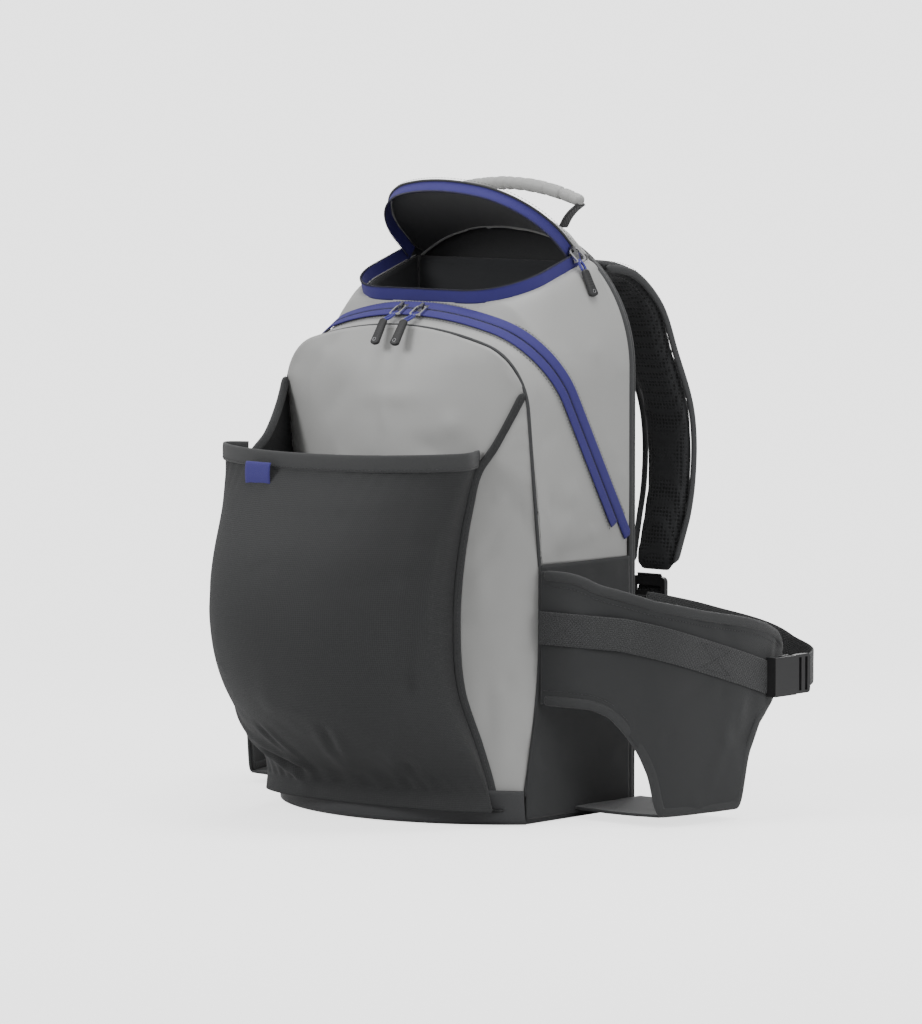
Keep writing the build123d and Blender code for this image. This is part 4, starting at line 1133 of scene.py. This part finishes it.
for side, name in ((-1, "left"), (1, "right")):
    line = sleeve_line(1.3, 301)
    top_z = eased(np.interp(line[:, 1], upper_edge[:, 0], upper_edge[:, 1]), 5)
    low_z = eased(np.interp(line[:, 1], lower_edge[:, 0], lower_edge[:, 1]), 3)
    top_z = np.maximum(top_z, low_z + 2)
    rise_way = np.linspace(0, 1, 49)[None, :]
    sleeve_z = low_z[:, None] + (top_z - low_z)[:, None] * rise_way
    slack = 2.2 * np.sin(np.clip((line[:, 1] + 61) / 190, 0, 1) * np.pi)[:, None] * np.cos((sleeve_z - 60) / 60)
    slack = slack - 1.2 * bell(rise_way - 1, 0.08)
    way = np.gradient(line, axis=0)
    out_way = xyz(way[:, 1], -way[:, 0]) / np.linalg.norm(way, axis=1, keepdims=True)
    sleeve_xy = line[:, None] + out_way[:, None] * (slack * 0.5)[..., None]
    sleeve_points = np.concatenate([sleeve_xy, sleeve_z[..., None]], -1)
    sleeve_points = crumple(sleeve_points, 30, 51 + side, 1.0, 55, 9) * (side, 1, 1)
    sleeve = surface("boot_sleeve_panel_" + name, sleeve_points[:, ::side], neoprene, thickness=2.2, offset=0.0)
    put(sleeve, "black_fabric", "root", "boot_sleeve_" + name)
    under_y = np.linspace(-20.5, 58.5, 41)[:, None]
    under_t = np.linspace(0, 1, 21)[None, :]
    under_x = np.interp(under_y, line[:, 1], line[:, 0]) * (1 - under_t) + 124.6 * under_t
    under_z = 8.6 - np.sin(np.pi * under_t)
    sling_points = crumple(xyz(side * under_x, under_y, under_z), 12, 61 + side, 0.4, 30, 7)
    sling = surface("boot_sling_" + name, sling_points[:, ::side], neoprene, thickness=2.0, offset=0.0)
    put(sling, "black_fabric", "root")
    for part, edge_z in (("upper", top_z - 3.0), ("lower", low_z + 3.0)):
        edge_path = xyz(side * (line[:, 0] + out_way[:, 0] * 0.2), line[:, 1] + out_way[:, 1] * 0.2, edge_z)[3:-3]
        edging = swept(
            f"boot_sleeve_{part}_binding_{name}", edge_path, binding_look, 8.0, 3.8, (0, 0, 1), power=2.8, sides=14,
            taper=5.0
        )
        put(edging, "black_fabric", "root")
        shift = (-7.6, 7.6)[part == "lower"]
        row = edge_path + xyz(side * out_way[3:-3, 0], out_way[3:-3, 1], 0) * 1.35
        row[:, 2] += shift
        row_at, row_way, row_t = along_line(row, PITCH)
        row_up = xyz(
            np.interp(row_t, np.linspace(0, 1, len(line)), side * out_way[:, 0]),
            np.interp(row_t, np.linspace(0, 1, len(line)), out_way[:, 1]), 0 * row_t
        )
        stitch = grains(
            f"boot_sleeve_{part}_stitches_{name}", row_at, row_way, row_up, (2.2, 0.5, 0.5), black_thread
        )
        put(stitch, "black_fabric", "root")

    strip = sleeve_line(4.4, 301)
    strip = strip[strip[:, 1] < 93.5]
    strip_z = np.interp(strip[:, 1], (-66, -45, 91.5), (149, 146, 105))
    strip_path = xyz(side * strip[:, 0], strip[:, 1], strip_z)
    webbing = swept("sleeve_webbing_strip_" + name, strip_path, web_look, 25.0, 1.7, (0, 0, 1), power=6.0, sides=24)
    put(webbing, "webbing", "root", "sleeve_webbing_" + name)
    strip_way = np.gradient(strip, axis=0)
    strip_out = xyz(side * strip_way[:, 1], -strip_way[:, 0], 0)
    strip_out /= np.linalg.norm(strip_out, axis=1, keepdims=True)
    box_rows = []
    for low, high in ((8, 46), (150, 188)):
        part = slice(int(low / 240 * len(strip)), int(high / 240 * len(strip)))
        for shift in (-9.5, 9.5):
            box_rows.append((strip_path[part] + strip_out[part] * 1.0 + [0, 0, shift], strip_out[part]))
        count = len(strip_path[part])
        for way_over in (1, -1):
            box_rows.append(
                (
                    strip_path[part] + strip_out[part] * 1.0 + np.linspace(
                        -9.5, 9.5, count
                    )[:, None] * [0, 0, way_over],
                    strip_out[part]
                )
            )
    ats, ways, ups = [], [], []
    for row, outs in box_rows:
        at, way_at, t = along_line(row, 2.8)
        ats.append(at), ways.append(way_at)
        ups.append(np.stack([np.interp(t, np.linspace(0, 1, len(outs)), outs[:, k]) for k in range(3)], -1))
    put(
        grains(
            "sleeve_webbing_stitches_" + name, np.concatenate(ats), np.concatenate(ways), np.concatenate(ups),
            (2.0, 0.5, 0.45), black_thread
        ),
        "webbing", "root"
    )

    dress(plastic, "buckle_female_" + name, "buckle_male_" + name)
    anchor_plan = np.array([(222.5, 141.5), (213.0, 158.5), (184.0, 163.0), (148.0, 112.0), (127.4, 61.0)])
    anchor_knots = lengths(anchor_plan)
    anchor_xy = through(np.linspace(0, anchor_knots[-1], 160), anchor_knots, anchor_plan)
    anchor_z = np.interp(anchor_xy[:, 0], (122, 185, 225), (158, 117, 105))
    anchor_z = eased(anchor_z, 8)
    anchor_path = xyz(side * anchor_xy[:, 0], anchor_xy[:, 1], anchor_z)
    anchor = swept("anchor_webbing_strip_" + name, anchor_path, web_look, 25.0, 1.7, (0, 0, 1), power=6.0, sides=24)
    put(anchor, "webbing", None, "anchor_webbing_" + name)
    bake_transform(anchor)

# ---- shoulder straps ----------------------------------------------------------------------
# Curved foam straps covered in air mesh, bound round their edges, hung from the top of the back and
# drawn down by webbing that runs through a ladder lock to the foot of the back panel.
outer_line = np.array(
    [(56, 419.5), (98, 410.5), (125, 387), (141, 346), (158.8, 298), (160.8, 240), (145, 173)], float
)
inner_line = np.array(
    [(56, 408), (92, 400.5), (115, 379), (130, 342), (147.2, 296), (149.2, 242), (133, 175)], float
)
strap_knots = lengths((outer_line + inner_line) / 2)
strap_at = np.linspace(0, strap_knots[-1], 90)
outer_run, inner_run = through(strap_at, strap_knots, outer_line), through(strap_at, strap_knots, inner_line)
strap_mid, strap_gap = (outer_run + inner_run) / 2, np.linalg.norm(outer_run - inner_run, axis=1)
strap_s = strap_at / strap_at[-1]
sway = 68.0 - 4.0 * np.cos(strap_s * np.pi * 1.1) + 5.0 * np.sin(strap_s * np.pi) ** 2
strap_half = np.interp(strap_s, (0, 0.08, 0.35, 0.85, 0.96, 1.0), (22.5, 24.5, 25.5, 24.5, 22.0, 18.0))
strap_way = np.gradient(strap_mid, axis=0)
strap_way /= np.linalg.norm(strap_way, axis=1, keepdims=True)
strap_high = xyz(-strap_way[:, 1], strap_way[:, 0])
loop = np.linspace(0, 2 * np.pi, 40, endpoint=False)
for side, name in ((-1, "left"), (1, "right")):
    flat_x, flat_h = superellipse(loop, 4.0)[0], superellipse(loop, 2.4)[1]
    thick = strap_gap * 0.5 * np.interp(strap_s, (0, 0.04, 0.96, 1), (0.45, 0.86, 0.86, 0.45))
    strap_points = xyz(
        side * (sway[:, None] + flat_x[None] * (strap_half - 1.5)[:, None]),
        strap_mid[:, :1] + strap_high[:, :1] * flat_h[None] * thick[:, None],
        strap_mid[:, 1:] + strap_high[:, 1:] * flat_h[None] * thick[:, None],
    )
    strap = filled(
        "shoulder_strap_pad_" + name, strap_points[:, ::-side], 2.5, 2.0,
        open_mesh("strap_air_mesh_" + name, (0.036, 0.037, 0.039), pitch=3.0, hole=0.38, on="Object")
    )
    put(strap, "mesh_pad", "strap_" + name, "shoulder_strap_" + name)
    for edge in (1, -1):
        bound = xyz(side * (sway + edge * (strap_half - 0.6)), strap_mid[:, 0], strap_mid[:, 1])[2:-2]
        label = "outer" if edge > 0 else "inner"
        put(
            swept(
                f"shoulder_strap_{label}_binding_{name}", bound, piping_look, 3.4, 6.4, (1, 0, 0), sides=10,
                taper=5.0
            ),
            "mesh_pad", "strap_" + name
        )
        face_line = xyz(side * (sway + edge * (strap_half - 5.5)), strap_mid[:, 0], strap_mid[:, 1])[3:-3]
        for over in (1, -1):
            high3 = xyz(0, strap_high[:, 0], strap_high[:, 1])[3:-3]
            row_at, row_way, t = along_line(face_line + high3 * (over * (thick[3:-3] * 1.12 + 0.2))[:, None], 3.1)
            row_up = np.stack([np.interp(t, np.linspace(0, 1, len(high3)), high3[:, k]) for k in range(3)], -1)
            stitch = grains(
                f"shoulder_strap_{label}_stitches_{'over' if over > 0 else 'under'}_{name}", row_at, row_way,
                row_up * over, (2.2, 0.5, 0.5), black_thread
            )
            put(stitch, "mesh_pad", "strap_" + name)
    dress(plastic, "ladder_lock_" + name)
    down_t = np.linspace(0, 1, 80)[:, None]
    lower_path = (
        np.array([side * 68.0, 138.6, 142.0]) * (1 - down_t) + np.array([side * 107.0, 53.4, 34.5]) * down_t
    )
    lower_path = lower_path + np.array([0, 1.6, -5.0]) * np.sin(np.pi * down_t) ** 1.2
    lower = swept("lower_webbing_strip_" + name, lower_path, web_look, 25.0, 1.7, (1, 0, 0), power=6.0, sides=24)
    put(lower, "webbing", None, "lower_webbing_" + name)
    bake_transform(lower)
    through_lock = (
        np.array([side * 68.0, 139.0, 171.0]) + np.linspace(0, 1, 30)[:, None] * np.array([0, 0.0, -29.0])
    )
    through_lock[:, 1] += 2.6 * np.sin(np.linspace(0, 2 * np.pi, 30))
    put(
        swept("ladder_lock_webbing_" + name, through_lock, web_look, 24.0, 1.5, (1, 0, 0), power=6.0, sides=20),
        "webbing", "strap_" + name
    )

# ---- carry handle -------------------------------------------------------------------------
# Shell fabric rolled round a soft core and wrinkled by use, on two webbing ends that go down into
# anchors box-stitched to the back panel.
arch_s = np.linspace(-1, 1, 241)
grip_path = xyz(74.0 * arch_s, 49.0, 463.0 + 13.0 * (1 - arch_s**2))
fold_random = np.random.default_rng(83)
fold_at, fold_size = np.sort(fold_random.uniform(-0.95, 0.95, 22)), fold_random.uniform(0.35, 1.0, 22)
folds = sum(size * bell(arch_s - at, 0.018) for at, size in zip(fold_at, fold_size))
grip_size = 10.6 - 1.5 * folds - 1.4 * np.abs(arch_s) ** 8
handle_grip = swept(
    "carry_handle_grip", grip_path, shell_look, grip_size, grip_size * 0.94, (0, 1, 0), power=2.2, sides=28,
    taper=4.0
)
put(handle_grip, "shell_fabric", "handle", "handle_grip")
seam_line = grip_path + xyz(0, 0, -grip_size * 0.47)
put(
    swept("carry_handle_seam", seam_line[6:-6], thread_look, 1.4, 0.9, (0, 1, 0), sides=8), "shell_fabric", "handle"
)
for side, name in ((-1, "left"), (1, "right")):
    t = np.linspace(0, 1, 41)[:, None]
    foot, top = np.array([side * 55.0, 49.0, 443.4]), np.array([side * 72.6, 49.0, 461.0])
    end_path = foot * (1 - t) + top * t + np.array([side * -1.6, 0, 1.2]) * np.sin(np.pi * t)
    end = swept("carry_handle_webbing_" + name, end_path, web_look, 10.0, 2.4, (0, 1, 0), power=5.0, sides=18)
    put(end, "webbing", "handle", "handle_webbing")
    anchor_line = np.array([side * 54.0, 51.2, 410.0]) + t * np.array([0, 0, 22.5])
    put(
        swept("carry_handle_anchor_" + name, anchor_line, web_look, 19.5, 1.7, (1, 0, 0), power=6.0, sides=18),
        "webbing", "root", "handle_anchors"
    )
    corners = np.array(
        [(-7, 2.5), (7, 2.5), (7, 19.5), (-7, 19.5), (-7, 2.5), (7, 19.5), (7, 2.5), (-7, 19.5)], float
    )
    ats, ways = [], []
    for first, last in zip(corners[:-1], corners[1:]):
        row = xyz(
            np.linspace(first[0], last[0], 12) + side * 54.0, 52.15, np.linspace(first[1], last[1], 12) + 410.0
        )
        at, way_at, _ = along_line(row, 2.6)
        ats.append(at), ways.append(way_at)
    box = grains(
        "carry_handle_box_stitches_" + name, np.concatenate(ats), np.concatenate(ways), (0, 1, 0), (1.9, 0.5, 0.45),
        thread_look
    )
    put(box, "webbing", "root")
